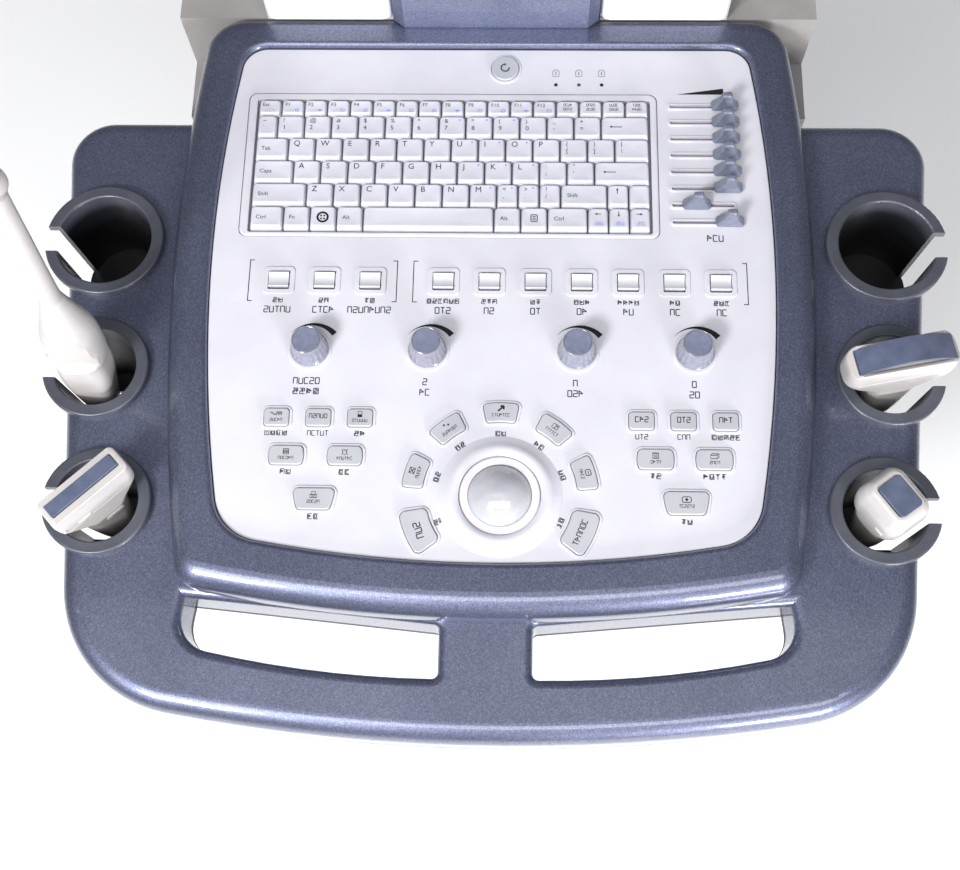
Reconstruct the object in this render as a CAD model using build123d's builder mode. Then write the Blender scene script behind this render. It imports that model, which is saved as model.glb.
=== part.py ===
"""Control console of an ultrasound machine, as an assembly of separate pieces.

+X is the operator's right, +Y points away from the operator, +Z is up, in millimetres.
The origin is the centre of the lower face of the steel plate that stands on the trolley's column.
"""
from build123d import *
import math
import os

os.makedirs("parts", exist_ok=True)

# ---- levels ----
PLATE_THICK = 6.0          # steel column plate, from the origin up
PAN_FLOOR = 3.0
UNDER_BOTTOM = 50.0        # underside of the wings and the handle
DECK_BOTTOM = 56.0
DECK_TOP = 90.0
PANEL_TOP = 110.0
PANEL_THICK = 3.0
PANEL_UNDER = PANEL_TOP - PANEL_THICK
RIDGE_TOP = 114.0
BOARD_TOP = 96.0
BOARD_THICK = 1.6
LIP = 1.0                  # height of the moulded lips round the controls

# ---- plan outlines ----
WING_HALF = 316.5
WING_REAR = 63.4
WING_REAR_R = 32.0
FRONT_HALF = 274.0
FRONT_SIDE_Y = -355.0
FRONT_Y = -385.5
FRONT_R = 90.0
BEZEL_HALF = 223.5
BEZEL_MID_Y = -40.0
BEZEL_REAR = 138.0
BEZEL_REAR_HALF = 211.0
BEZEL_FRONT_HALF = 200.7
BEZEL_FRONT_SIDE_Y = -289.0
BEZEL_FRONT_Y = -309.0
PANEL_HALF = 194.6
PANEL_MID_Y = -50.0
PANEL_REAR = 109.5
PANEL_REAR_HALF = 182.0
PANEL_FRONT_HALF = 173.5
PANEL_FRONT_SIDE_Y = -257.0
PANEL_FRONT_Y = -274.5
FIT_GAP = 0.4              # gap between one moulding and the next
WALL = 3.0
SKIRT_WALL = 1.6           # the rim that hangs from the panel's edge

# ---- hand openings behind the handle ----
GAP_IN, GAP_OUT, GAP_SPLAY = 30.5, 197.5, 3.5
GAP_IN_REAR, GAP_OUT_REAR = -310.5, -294.5
GAP_IN_FRONT, GAP_MID_FRONT, GAP_OUT_FRONT = -344.8, -339.6, -325.0
GAP_IN_R, GAP_OUT_R = 4.0, 22.0
GAP_ROUND = 6.0
GAP_REACH, GAP_FRONT_Y, GAP_REAR_Y = GAP_OUT + 4.5, GAP_IN_FRONT - 1.2, GAP_OUT_REAR + 1.5

# ---- control positions ----
BALL_X, BALL_Y = 8.0, -230.0
BALL_R = 25.0
BALL_Z = 97.7
RING_TOP = 112.0
RING_R = 26.5
DOME_R = 41.3
ARC_KEY_R = 57.4
KEYBOARD_X, KEYBOARD_Y = -30.0, 12.8
KEYBOARD_W = 280.0
KEY_PITCH_Y = 18.2
TOP_ROW_PITCH = 13.0
PADDLE_Y = -77.2
PADDLE_PITCH = 31.6
PADDLE_XS = [-146.4 + i * PADDLE_PITCH for i in range(3)] + [-32.9 + i * PADDLE_PITCH for i in range(7)]
KNOB_XS = [-122.0, -42.3, 58.3, 137.4]
KNOB_Y = -128.6
SLIDER_X = 146.9
SLIDER_Y = 61.7
SLIDER_PITCH = 13.2
SLIDER_SLOT = 43.5
SLIDER_HOME = 164.5
SLIDER_SET_BACK = 142.0    # the seventh slider is set about half way
POWER_X, POWER_Y = 7.2, 92.5
POWER_R = 10.0

# ---- probe cups: name, x, y, rim radius, slot width ----
RIM_WIDTH = 8.7
RIM_TOP = 96.0
CUP_BOTTOM = 20.0
CUP_WALL = 2.8
CUP_TAPER = 5.0
CUPS = {
    "rear": (276.5, -39.3, 42.4, 19.0),
    "mid": (271.9, -136.3, 36.8, 17.0),
    "front": (260.7, -232.1, 36.8, 17.0),
}
CUP_DRAINS = {"rear": 0.0, "mid": 8.5, "front": 8.5}      # radius of the hole in each cup's floor


def finish(builder, name):
    """Label a finished piece and write it."""
    builder.part.label = name
    export_step(builder.part, f"parts/{name}.step")


# ---------------------------------------------------------------- outlines
def barrel_outline(rear, rear_half, mid, half, front_side, front_half, front, rear_r, front_r):
    """A face with a straight rear edge, bowed sides and a bowed front edge."""
    with BuildSketch() as outline:
        with BuildLine():
            Line((-rear_half, rear), (rear_half, rear))
            ThreePointArc((rear_half, rear), (half, mid), (front_half, front_side))
            ThreePointArc((front_half, front_side), (0, front), (-front_half, front_side))
            ThreePointArc((-front_half, front_side), (-half, mid), (-rear_half, rear))
        make_face()
        fillet(outline.vertices().group_by(Axis.Y)[-1], rear_r)
        fillet(outline.vertices().group_by(Axis.Y)[0], front_r)
    return outline.sketch


def bezel_outline(grow=0.0):
    """The outer edge of the raised ridge, larger all round by the given amount."""
    return barrel_outline(BEZEL_REAR + grow, BEZEL_REAR_HALF + grow, BEZEL_MID_Y, BEZEL_HALF + grow,
                          BEZEL_FRONT_SIDE_Y - grow, BEZEL_FRONT_HALF + grow, BEZEL_FRONT_Y - grow,
                          30 + grow, 20 + grow)


def panel_outline(grow=0.0):
    """The edge of the white panel, larger all round by the given amount."""
    return barrel_outline(PANEL_REAR + grow, PANEL_REAR_HALF + grow, PANEL_MID_Y, PANEL_HALF + grow,
                          PANEL_FRONT_SIDE_Y - grow, PANEL_FRONT_HALF + grow, PANEL_FRONT_Y - grow,
                          18 + grow, 34 + grow)


def wing_outline(grow=0.0):
    """The wings and the front handle, larger all round by the given amount."""
    front_corner = (FRONT_HALF + grow, FRONT_SIDE_Y - grow)
    rear_corner = (WING_HALF + grow, WING_REAR + grow)
    with BuildSketch() as wings:
        with BuildLine():
            Line((-rear_corner[0], rear_corner[1]), rear_corner)
            Line(rear_corner, front_corner)
            ThreePointArc(front_corner, (0, FRONT_Y - grow), (-front_corner[0], front_corner[1]))
            Line((-front_corner[0], front_corner[1]), (-rear_corner[0], rear_corner[1]))
        make_face()
        fillet(wings.vertices().group_by(Axis.Y)[-1], WING_REAR_R + grow)
        fillet(wings.vertices().group_by(Axis.Y)[0], FRONT_R + grow)
    return wings.sketch


def gap_outline(grow=0.0):
    """The two hand openings behind the front handle, larger all round by the given amount."""
    inner, outer = GAP_IN - grow, GAP_OUT + grow
    inner_rear, outer_rear = GAP_IN_REAR + grow, GAP_OUT_REAR + grow
    inner_front, mid_front, outer_front = GAP_IN_FRONT - grow, GAP_MID_FRONT - grow, GAP_OUT_FRONT - grow
    corner = outer + GAP_SPLAY
    with BuildSketch() as gaps:
        with BuildLine():
            Line((inner, inner_rear), (outer, outer_rear))
            Line((outer, outer_rear), (corner, outer_front))
            ThreePointArc((corner, outer_front), ((GAP_IN + GAP_OUT) / 2 + 5, mid_front), (inner, inner_front))
            Line((inner, inner_front), (inner, inner_rear))
        make_face()
        fillet(gaps.vertices().group_by(Axis.Y)[1], GAP_OUT_R + grow)
        fillet(gaps.vertices().group_by(Axis.X)[0], GAP_IN_R + grow)
        mirror(about=Plane.YZ)
    return gaps.sketch


def cup_holes(grow=0.0):
    """The round holes that the six cups hang through."""
    with BuildSketch() as holes:
        for x, y, rim_r, _ in CUPS.values():
            with Locations((-x, y), (x, y)):
                Circle(rim_r - RIM_WIDTH + CUP_WALL + 0.7 + grow)
    return holes.sketch


BEZEL = bezel_outline()
PANEL = panel_outline()
WINGS = wing_outline()
HANDLE_GAPS = gap_outline()
CUP_HOLES = cup_holes()

# ---------------------------------------------------------------- deck: wings, handle and centre
SCREW_R, HEAD_R, HEAD_H = 1.9, 3.8, 2.4
BOSS_R, BOSS_DEPTH = 5.0, 18.0
SCREWS = [(side * x, y) for x, y in ((250, 22), (245, -186), (245, -300), (110, -365)) for side in (-1, 1)]
TOP_ROUND = 13.0
SKIN = 4.0
INSET = 7.0
with BuildPart() as deck_shell:
    with BuildSketch(Plane.XY.offset(DECK_BOTTOM)):
        add(WINGS)
        add(BEZEL)
    extrude(amount=DECK_TOP - DECK_BOTTOM)
    wing_edges = deck_shell.edges().group_by(Axis.Z)[-1].filter_by(
        lambda e: abs(e.center().X) > BEZEL_HALF or e.center().Y < BEZEL_FRONT_Y)
    fillet(wing_edges, TOP_ROUND)
    with BuildSketch(Plane.XY.offset(DECK_BOTTOM)):
        add(HANDLE_GAPS)
    extrude(amount=DECK_TOP - DECK_BOTTOM, mode=Mode.SUBTRACT)
    gap_edges = deck_shell.edges().group_by(Axis.Z)[-1].filter_by(
        lambda e: abs(e.center().X) < GAP_REACH and GAP_FRONT_Y < e.center().Y < GAP_REAR_Y)
    fillet(gap_edges, GAP_ROUND)
    with BuildSketch(Plane.XY.offset(DECK_BOTTOM)):
        add(wing_outline(-INSET))
        add(bezel_outline(-INSET))
        add(gap_outline(4), mode=Mode.SUBTRACT)
        add(cup_holes(4), mode=Mode.SUBTRACT)
    extrude(amount=DECK_TOP - DECK_BOTTOM - SKIN, mode=Mode.SUBTRACT)
    with BuildSketch(Plane.XY.offset(DECK_BOTTOM)):
        add(panel_outline(-2))
    extrude(amount=DECK_TOP - DECK_BOTTOM, mode=Mode.SUBTRACT)
    with BuildSketch(Plane.XY.offset(DECK_BOTTOM)):
        add(CUP_HOLES)
    extrude(amount=DECK_TOP - DECK_BOTTOM, mode=Mode.SUBTRACT)
    with BuildSketch(Plane.XY.offset(DECK_BOTTOM)):
        with Locations(*SCREWS):
            Circle(BOSS_R)
    extrude(amount=DECK_TOP - DECK_BOTTOM - SKIN)
    with BuildSketch(Plane.XY.offset(DECK_BOTTOM)):
        with Locations(*SCREWS):
            Circle(SCREW_R + 0.1)
    extrude(amount=BOSS_DEPTH, mode=Mode.SUBTRACT)
finish(deck_shell, "deck_shell")

# ---------------------------------------------------------------- underside: cover, pan and plate
PAN_W, PAN_D, PAN_Y = 330.0, 300.0, -75.0
PAN_DRAFT = -16
BOLT_X, BOLT_Y, BOLT_R = 130.0, 90.0, 3.3
CABLE_W, CABLE_D = 60.0, 32.0
VENT_PITCH, VENT_L, VENT_W = 11.0, 45.0, 4.5
PAN_VENTS, PAN_VENT_Y = 17, -165.0
REAR_VENTS = 27
PLATE_EDGE = 20.0          # from the bolts to the edge of the column plate


def column_holes():
    """The four column bolts' clearance holes and the cable's hole."""
    with BuildSketch() as holes:
        with GridLocations(BOLT_X, BOLT_Y, 2, 2):
            Circle(BOLT_R)
        RectangleRounded(CABLE_W, CABLE_D, 8)
    return holes.sketch


with BuildPart() as underside_cover:
    with BuildSketch(Plane.XY.offset(UNDER_BOTTOM)):
        add(WINGS)
        add(BEZEL)
    extrude(amount=DECK_BOTTOM - UNDER_BOTTOM)
    fillet(underside_cover.edges().group_by(Axis.Z)[0], 4)
    with BuildSketch(Plane.XY.offset(UNDER_BOTTOM)):
        add(HANDLE_GAPS)
        add(CUP_HOLES)
    extrude(amount=DECK_BOTTOM - UNDER_BOTTOM, mode=Mode.SUBTRACT)
    with BuildSketch(Plane.XY.offset(PLATE_THICK)):
        with Locations((0, PAN_Y)):
            RectangleRounded(PAN_W, PAN_D, 26)
    extrude(amount=UNDER_BOTTOM - PLATE_THICK + 1, taper=PAN_DRAFT)
    fillet(underside_cover.faces().sort_by(Axis.Z)[0].edges(), 5)
    with BuildSketch(Plane.XY.offset(PLATE_THICK + PAN_FLOOR)):
        with Locations((0, PAN_Y)):
            RectangleRounded(PAN_W - 2 * WALL, PAN_D - 2 * WALL, 24)
    extrude(amount=DECK_BOTTOM - PLATE_THICK, taper=PAN_DRAFT, mode=Mode.SUBTRACT)
    with BuildSketch(Plane.XY.offset(PLATE_THICK)):
        add(column_holes())
        with Locations((0, PAN_VENT_Y)):
            with GridLocations(VENT_PITCH, 0, PAN_VENTS, 1):
                SlotOverall(VENT_L, VENT_W, rotation=90)
    extrude(amount=PAN_FLOOR, mode=Mode.SUBTRACT)
    with BuildSketch(Plane.XY.offset(UNDER_BOTTOM)):
        with Locations(*SCREWS):
            Circle(SCREW_R + 0.3)
    extrude(amount=DECK_BOTTOM - UNDER_BOTTOM, mode=Mode.SUBTRACT)
finish(underside_cover, "underside_cover")

with BuildPart() as screws:
    with BuildSketch(Plane.XY.offset(UNDER_BOTTOM - HEAD_H)):
        with Locations(*SCREWS):
            Circle(HEAD_R)
    extrude(amount=HEAD_H)
    fillet(screws.edges().group_by(Axis.Z)[0], 1)
    with BuildSketch(Plane.XY.offset(UNDER_BOTTOM)):
        with Locations(*SCREWS):
            Circle(SCREW_R)
    extrude(amount=DECK_BOTTOM - UNDER_BOTTOM + BOSS_DEPTH - 2)
    with BuildSketch(Plane.XY.offset(UNDER_BOTTOM - HEAD_H)):
        with Locations(*SCREWS):
            RegularPolygon(1.7, 6)
    extrude(amount=1.4, mode=Mode.SUBTRACT)
finish(screws, "screws")

with BuildPart() as column_plate:
    with BuildSketch():
        RectangleRounded(BOLT_X + 2 * PLATE_EDGE, BOLT_Y + 2 * PLATE_EDGE, PLATE_EDGE / 2)
        add(column_holes(), mode=Mode.SUBTRACT)
    extrude(amount=PLATE_THICK)
    chamfer(column_plate.edges().group_by(Axis.Z)[-1].sort_by(SortBy.LENGTH)[-4:], 1)
finish(column_plate, "column_plate")

# ---------------------------------------------------------------- bezel ridge round the panel
with BuildPart() as console_bezel:
    with BuildSketch(Plane.XY.offset(DECK_TOP)):
        add(BEZEL)
    extrude(amount=RIDGE_TOP - DECK_TOP)
    fillet(console_bezel.edges().group_by(Axis.Z)[-1], 15)
    with BuildSketch(Plane.XY.offset(DECK_TOP)):
        add(panel_outline(FIT_GAP))
    extrude(amount=RIDGE_TOP - DECK_TOP, mode=Mode.SUBTRACT)
    inner_edges = console_bezel.edges().group_by(Axis.Z)[-1].filter_by(
        lambda e: abs(e.center().X) < PANEL_HALF + 1 and PANEL_FRONT_Y - 1 < e.center().Y < PANEL_REAR + 1)
    fillet(inner_edges, 4)
    with BuildSketch(Plane.XY.offset(DECK_TOP)):
        add(bezel_outline(-6))
        add(panel_outline(4), mode=Mode.SUBTRACT)
    extrude(amount=15, mode=Mode.SUBTRACT)
finish(console_bezel, "console_bezel")

# ---------------------------------------------------------------- push keys
KEY_TOP = 112.4
KEY_FLANGE_TOP = PANEL_UNDER - 0.4
KEY_FLANGE = 1.2
FLANGE_GAP = 0.6           # between a key's flange and the panel's rim
KEY_GAP = 0.4
KEY_STEM_BOTTOM = 102.2


def polar(radius, degrees):
    """A point round the origin."""
    return (radius * math.cos(math.radians(degrees)), radius * math.sin(math.radians(degrees)))


def arc_key(grow, angle, inner, outer, half_span, rounding):
    """A key bent round the trackball, centred on the given angle in degrees."""
    inner, outer, rounding = inner - grow, outer + grow, rounding + grow
    half_span += math.degrees(grow / ARC_KEY_R)
    start, end = angle - half_span, angle + half_span
    with BuildSketch(Plane((BALL_X, BALL_Y))) as key:
        with BuildLine():
            ThreePointArc(polar(outer, start), polar(outer, angle), polar(outer, end))
            Line(polar(outer, end), polar(inner, end))
            ThreePointArc(polar(inner, end), polar(inner, angle), polar(inner, start))
            Line(polar(inner, start), polar(outer, start))
        make_face()
        fillet(key.vertices(), rounding)
    return key.sketch


def bar_key(grow, x, y, width, depth, bulge, taper, rounding):
    """A key with bulging left and right ends, wider at the back than at the front by twice the taper."""
    half_w, half_d, rounding = width / 2 + grow, depth / 2 + grow, rounding + grow
    with BuildSketch(Plane((x, y))) as key:
        with BuildLine():
            Line((-half_w, half_d), (half_w, half_d))
            ThreePointArc((half_w, half_d), (half_w - taper / 2 + bulge, 0), (half_w - taper, -half_d))
            Line((half_w - taper, -half_d), (taper - half_w, -half_d))
            ThreePointArc((taper - half_w, -half_d), (taper / 2 - half_w - bulge, 0), (-half_w, half_d))
        make_face()
        fillet(key.vertices(), rounding)
    return key.sketch


def square_key(grow, x, y):
    """A plain rounded key."""
    with BuildSketch(Plane((x, y))) as key:
        RectangleRounded(16.6 + 2 * grow, 12.4 + 2 * grow, 2.4 + grow)
    return key.sketch


def round_key(grow, x, y, radius):
    """A round button."""
    with BuildSketch(Plane((x, y))) as key:
        Circle(radius + grow)
    return key.sketch


MODE_ROW_Y, STORE_ROW_Y, LAST_ROW_Y = -177.6, -204.0, -233.6
KEYS = {
    "probe_mode_keys": [(square_key, x, MODE_ROW_Y) for x in (-141.1, -113.2, -85.4)],
    "report_keys": [(bar_key, x, STORE_ROW_Y, 20.4, 13.2, 1.4, 0, 3) for x in (-133.0, -94.2)],
    "print_key": [(bar_key, -113.1, LAST_ROW_Y, 27.5, 14.6, 0.6, 3.4, 3.2)],
    "scan_mode_keys": [(square_key, x, MODE_ROW_Y) for x in (100.8, 128.4, 156.0)],
    "store_keys": [(bar_key, x, STORE_ROW_Y, 21.2, 13.8, 1.4, 0, 3) for x in (109.4, 147.7)],
    "freeze_key": [(bar_key, 128.7, LAST_ROW_Y, 29.2, 15.6, 0.8, 3.0, 3.4)],
    "arc_keys": [(arc_key, angle, 50.6, 64.2, 10.8, 2.6) for angle in (15.7, 52.8, 90, 127.2, 164.3)],
    "set_key": [(arc_key, 204, 48.2, 66.2, 13.6, 4)],
    "cancel_key": [(arc_key, -24, 48.2, 66.2, 13.6, 4)],
    "power_button": [(round_key, POWER_X, POWER_Y, POWER_R)],
}


def outline_of(key, grow=0.0):
    """A key's outline, larger all round by the given amount."""
    maker, *sizes = key
    return maker(grow, *sizes)


def centre_of(key):
    """The middle of a key, where its stem and its switch are."""
    return outline_of(key).faces()[0].center()


for key_name, group in KEYS.items():
    with BuildPart() as key_part:
        for key in group:
            with BuildSketch(Plane.XY.offset(KEY_FLANGE_TOP)):
                add(outline_of(key))
            extrude(amount=KEY_TOP - KEY_FLANGE_TOP)
            with BuildSketch(Plane.XY.offset(KEY_FLANGE_TOP)):
                add(outline_of(key, KEY_FLANGE))
                add(panel_outline(-SKIRT_WALL - FLANGE_GAP), mode=Mode.INTERSECT)
            extrude(amount=-KEY_FLANGE)
            with BuildSketch(Plane.XY.offset(KEY_STEM_BOTTOM)):
                with Locations((centre_of(key).X, centre_of(key).Y)):
                    Circle(2)
            extrude(amount=KEY_FLANGE_TOP - KEY_STEM_BOTTOM)
        fillet(key_part.edges().group_by(Axis.Z)[-1], 0.9)
    finish(key_part, key_name)

# ---------------------------------------------------------------- keyboard
KEYBOARD_ROWS = [
    [1] * 17,
    [0.75] + [1] * 12 + [1.75],
    [1.2] + [1] * 12 + [1.25],
    [1.45] + [1] * 11 + [2],
    [2] + [1] * 7 + [0.78] * 3 + [1.7, 0.78, 0.78],
    [1.25, 1, 1, 1, 4.9, 1, 1, 1.5, 0.78, 0.78, 0.78],
]
KEYCAP_BOTTOM, KEYCAP_TOP = 106.5, 113.2
KEYCAP_GAP = 0.7
KEYCAP_TAPER = 11
KEYBOARD_D = 5 * KEY_PITCH_Y + TOP_ROW_PITCH
FRAME_BOTTOM, FRAME_FLOOR, FRAME_TOP = 101.0, 104.0, 111.0
FRAME_X, FRAME_Y = -30.6, 14.2
FRAME_W, FRAME_D = 293.5, 115.0
POCKET_MARGIN = 1.4


def keycap_places():
    """Centre and size of every keycap, row by row from the back."""
    row_rear = KEYBOARD_Y + KEYBOARD_D / 2
    for index, widths in enumerate(KEYBOARD_ROWS):
        depth = TOP_ROW_PITCH if index == 0 else KEY_PITCH_Y
        left = KEYBOARD_X - KEYBOARD_W / 2
        for width in widths:
            size = width * KEYBOARD_W / sum(widths)
            yield left + size / 2, row_rear - depth / 2, size - KEYCAP_GAP, depth - KEYCAP_GAP
            left += size
        row_rear -= depth


with BuildPart() as keyboard_keys:
    with BuildSketch(Plane.XY.offset(KEYCAP_BOTTOM)):
        for cap_x, cap_y, cap_w, cap_d in keycap_places():
            with Locations((cap_x, cap_y)):
                RectangleRounded(cap_w, cap_d, 1.2)
    extrude(amount=KEYCAP_TOP - KEYCAP_BOTTOM, taper=KEYCAP_TAPER)
finish(keyboard_keys, "keyboard_keys")

with BuildPart() as keyboard_frame:
    with BuildSketch(Plane.XY.offset(FRAME_BOTTOM)):
        with Locations((FRAME_X, FRAME_Y)):
            RectangleRounded(FRAME_W, FRAME_D, 6)
    extrude(amount=FRAME_TOP - FRAME_BOTTOM)
    fillet(keyboard_frame.edges().group_by(Axis.Z)[-1], 1.6)
    with BuildSketch(Plane.XY.offset(FRAME_FLOOR)):
        with Locations((KEYBOARD_X, KEYBOARD_Y)):
            RectangleRounded(KEYBOARD_W + 2 * POCKET_MARGIN, KEYBOARD_D + 2 * POCKET_MARGIN, 2)
    extrude(amount=FRAME_TOP - FRAME_FLOOR, mode=Mode.SUBTRACT)
finish(keyboard_frame, "keyboard_frame")

# ---------------------------------------------------------------- control panel
PADDLE_HOLE = (15.0, 14.0)
PADDLE_FRAME = (22.0, 20.5)
BUSH_R = 4.5
KNOB_RING_R = 15.0
SLOT_W = 2.4
SLOT_LIP_W = 5.4
BOSSES = [(-165, 95), (140, 95), (-165, -105), (172, -105), (-60, -155), (82, -155), (-150, -245), (164, -240)]
PANEL_SKIRT_BOTTOM = 99.0


def slider_rows():
    """The y of each of the eight depth sliders, from the back."""
    return [SLIDER_Y - i * SLIDER_PITCH for i in range(8)]


with BuildPart() as control_panel:
    with BuildSketch(Plane.XY.offset(PANEL_UNDER)):
        add(PANEL)
    extrude(amount=PANEL_THICK)
    fillet(control_panel.edges().group_by(Axis.Z)[-1], 1)
    with BuildSketch(Plane.XY.offset(PANEL_SKIRT_BOTTOM)):
        add(PANEL)
        add(panel_outline(-SKIRT_WALL), mode=Mode.SUBTRACT)
    extrude(amount=PANEL_UNDER - PANEL_SKIRT_BOTTOM)
    with BuildSketch(Plane.XY.offset(BOARD_TOP)):
        with Locations(*BOSSES):
            Circle(4)
    extrude(amount=PANEL_UNDER - BOARD_TOP)
    with BuildSketch(Plane.XY.offset(PANEL_TOP)):
        for slot_y in slider_rows():
            with Locations((SLIDER_X, slot_y)):
                SlotOverall(SLIDER_SLOT + SLOT_LIP_W - SLOT_W, SLOT_LIP_W)
        for paddle_x in PADDLE_XS:
            with Locations((paddle_x, PADDLE_Y)):
                RectangleRounded(*PADDLE_FRAME, 3.4)
        for knob_x in KNOB_XS:
            with Locations((knob_x, KNOB_Y)):
                Circle(KNOB_RING_R)
        for group in KEYS.values():
            for key in group:
                add(outline_of(key, 2))
    extrude(amount=LIP)
    fillet(control_panel.edges().group_by(Axis.Z)[-1], 0.6)
    with BuildSketch(Plane.XZ.offset(-BALL_Y)):
        with BuildLine():
            Line((BALL_X + RING_R + FIT_GAP, PANEL_UNDER), (BALL_X + RING_R + FIT_GAP, RING_TOP + 1))
            ThreePointArc((BALL_X + RING_R + FIT_GAP, RING_TOP + 1), (BALL_X + RING_R + 4, RING_TOP + 2.4),
                          (BALL_X + RING_R + 8, RING_TOP + 1.4))
            ThreePointArc((BALL_X + RING_R + 8, RING_TOP + 1.4), (BALL_X + DOME_R - 3, PANEL_TOP + 1.2),
                          (BALL_X + DOME_R, PANEL_TOP))
            Line((BALL_X + DOME_R, PANEL_TOP), (BALL_X + DOME_R, PANEL_UNDER))
            Line((BALL_X + DOME_R, PANEL_UNDER), (BALL_X + RING_R + FIT_GAP, PANEL_UNDER))
        make_face()
    revolve(axis=Axis((BALL_X, BALL_Y, 0), (0, 0, 1)))
    with BuildSketch(Plane.XY.offset(PANEL_UNDER)):
        with Locations((BALL_X, BALL_Y)):
            Circle(RING_R + FIT_GAP)
        with Locations((FRAME_X, FRAME_Y)):
            RectangleRounded(FRAME_W + 2 * FIT_GAP, FRAME_D + 2 * FIT_GAP, 6)
        for slot_y in slider_rows():
            with Locations((SLIDER_X, slot_y)):
                SlotOverall(SLIDER_SLOT, SLOT_W)
        for paddle_x in PADDLE_XS:
            with Locations((paddle_x, PADDLE_Y)):
                RectangleRounded(*PADDLE_HOLE, 1)
        for knob_x in KNOB_XS:
            with Locations((knob_x, KNOB_Y)):
                Circle(BUSH_R + FIT_GAP)
        for group in KEYS.values():
            for key in group:
                add(outline_of(key, KEY_GAP))
    extrude(amount=PANEL_THICK + LIP, mode=Mode.SUBTRACT)
finish(control_panel, "control_panel")

# ---------------------------------------------------------------- trackball
HOUSING_R, HOUSING_BOTTOM = 31.0, 68.0
SOCKET_R = BALL_R + 0.6

with BuildPart() as trackball:
    with Locations((BALL_X, BALL_Y, BALL_Z)):
        Sphere(BALL_R)
finish(trackball, "trackball")

with BuildPart() as trackball_ring:
    with BuildSketch(Plane.XY.offset(PANEL_UNDER)):
        with Locations((BALL_X, BALL_Y)):
            Circle(RING_R)
    extrude(amount=RING_TOP - PANEL_UNDER)
    chamfer(trackball_ring.edges().group_by(Axis.Z)[-1], 0.8)
    with Locations((BALL_X, BALL_Y, BALL_Z)):
        Sphere(BALL_R + 0.4, mode=Mode.SUBTRACT)
finish(trackball_ring, "trackball_ring")

with BuildPart() as trackball_housing:
    with Locations((BALL_X, BALL_Y, HOUSING_BOTTOM)):
        Cylinder(HOUSING_R, PANEL_UNDER - HOUSING_BOTTOM, align=(Align.CENTER, Align.CENTER, Align.MIN))
    with Locations((BALL_X, BALL_Y, BALL_Z)):
        Sphere(SOCKET_R, mode=Mode.SUBTRACT)
        Cylinder(SOCKET_R, 2 * (PANEL_UNDER - BALL_Z), mode=Mode.SUBTRACT,
                 align=(Align.CENTER, Align.CENTER, Align.MIN))
    with Locations((BALL_X, BALL_Y, HOUSING_BOTTOM)):
        Box(12, 12, 20, mode=Mode.SUBTRACT)
finish(trackball_housing, "trackball_housing")

# ---------------------------------------------------------------- circuit board with its switches
SWITCH_W, SWITCH_H = 6.0, 4.2

with BuildPart() as control_board:
    with BuildSketch(Plane.XY.offset(BOARD_TOP - BOARD_THICK)):
        add(panel_outline(-12))
        with Locations((BALL_X, BALL_Y)):
            Circle(HOUSING_R + 2, mode=Mode.SUBTRACT)
    extrude(amount=BOARD_THICK)
    for group in KEYS.values():
        for key in group:
            with Locations((centre_of(key).X, centre_of(key).Y, BOARD_TOP)):
                Box(SWITCH_W, SWITCH_W, SWITCH_H, align=(Align.CENTER, Align.CENTER, Align.MIN))
finish(control_board, "control_board")

# ---------------------------------------------------------------- paddle switches
HINGE_Z = 104.0
PIN_R = 1.5
PIN_HALF = 10.0
EAR_IN, EAR_OUT = 8.4, 10.2
PADDLE_HALF_W = 6.9
PADDLE_FOOT, PADDLE_WAIST, PADDLE_LIP = (4.0, -2.0), (5.0, 4.0), (5.9, 9.6)     # half depth, height over the pin
PADDLE_DISH_Z = 7.6
PADDLE_ROUND = 0.7


def paddle_point(side, corner):
    """A corner of the paddle's side view, in front of its pin (-1) or behind it (1)."""
    return PADDLE_Y + side * corner[0], HINGE_Z + corner[1]


with BuildPart() as paddle_switches:
    for paddle_x in PADDLE_XS:
        with Locations((paddle_x, PADDLE_Y, BOARD_TOP)):
            Box(2 * EAR_OUT, 12, 4, align=(Align.CENTER, Align.CENTER, Align.MIN))
        for side in (-1, 1):
            with Locations((paddle_x + side * (EAR_IN + EAR_OUT) / 2, PADDLE_Y, BOARD_TOP)):
                Box(EAR_OUT - EAR_IN, 7, PANEL_UNDER - BOARD_TOP,
                    align=(Align.CENTER, Align.CENTER, Align.MIN))
        with Locations(Location((paddle_x, PADDLE_Y, HINGE_Z), (0, 90, 0))):
            Cylinder(PIN_R + 0.05, 3 * EAR_OUT, mode=Mode.SUBTRACT)
finish(paddle_switches, "paddle_switches")

for number, paddle_x in enumerate(PADDLE_XS, 1):
    with BuildPart() as paddle:
        with BuildSketch(Plane.YZ.offset(paddle_x - PADDLE_HALF_W)):
            with BuildLine():
                for side in (-1, 1):
                    Polyline(*[paddle_point(side, c) for c in (PADDLE_FOOT, PADDLE_WAIST, PADDLE_LIP)])
                ThreePointArc(paddle_point(-1, PADDLE_LIP), (PADDLE_Y, HINGE_Z + PADDLE_DISH_Z),
                              paddle_point(1, PADDLE_LIP))
                Line(paddle_point(-1, PADDLE_FOOT), paddle_point(1, PADDLE_FOOT))
            make_face()
        extrude(amount=2 * PADDLE_HALF_W)
        fillet(paddle.edges().filter_by(Axis.X).sort_by(Axis.Z)[-2:], PADDLE_ROUND)
        with Locations(Location((paddle_x, PADDLE_Y, HINGE_Z), (0, 90, 0))):
            Cylinder(PIN_R, 2 * PIN_HALF)
    finish(paddle, f"paddle_{number}")

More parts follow.
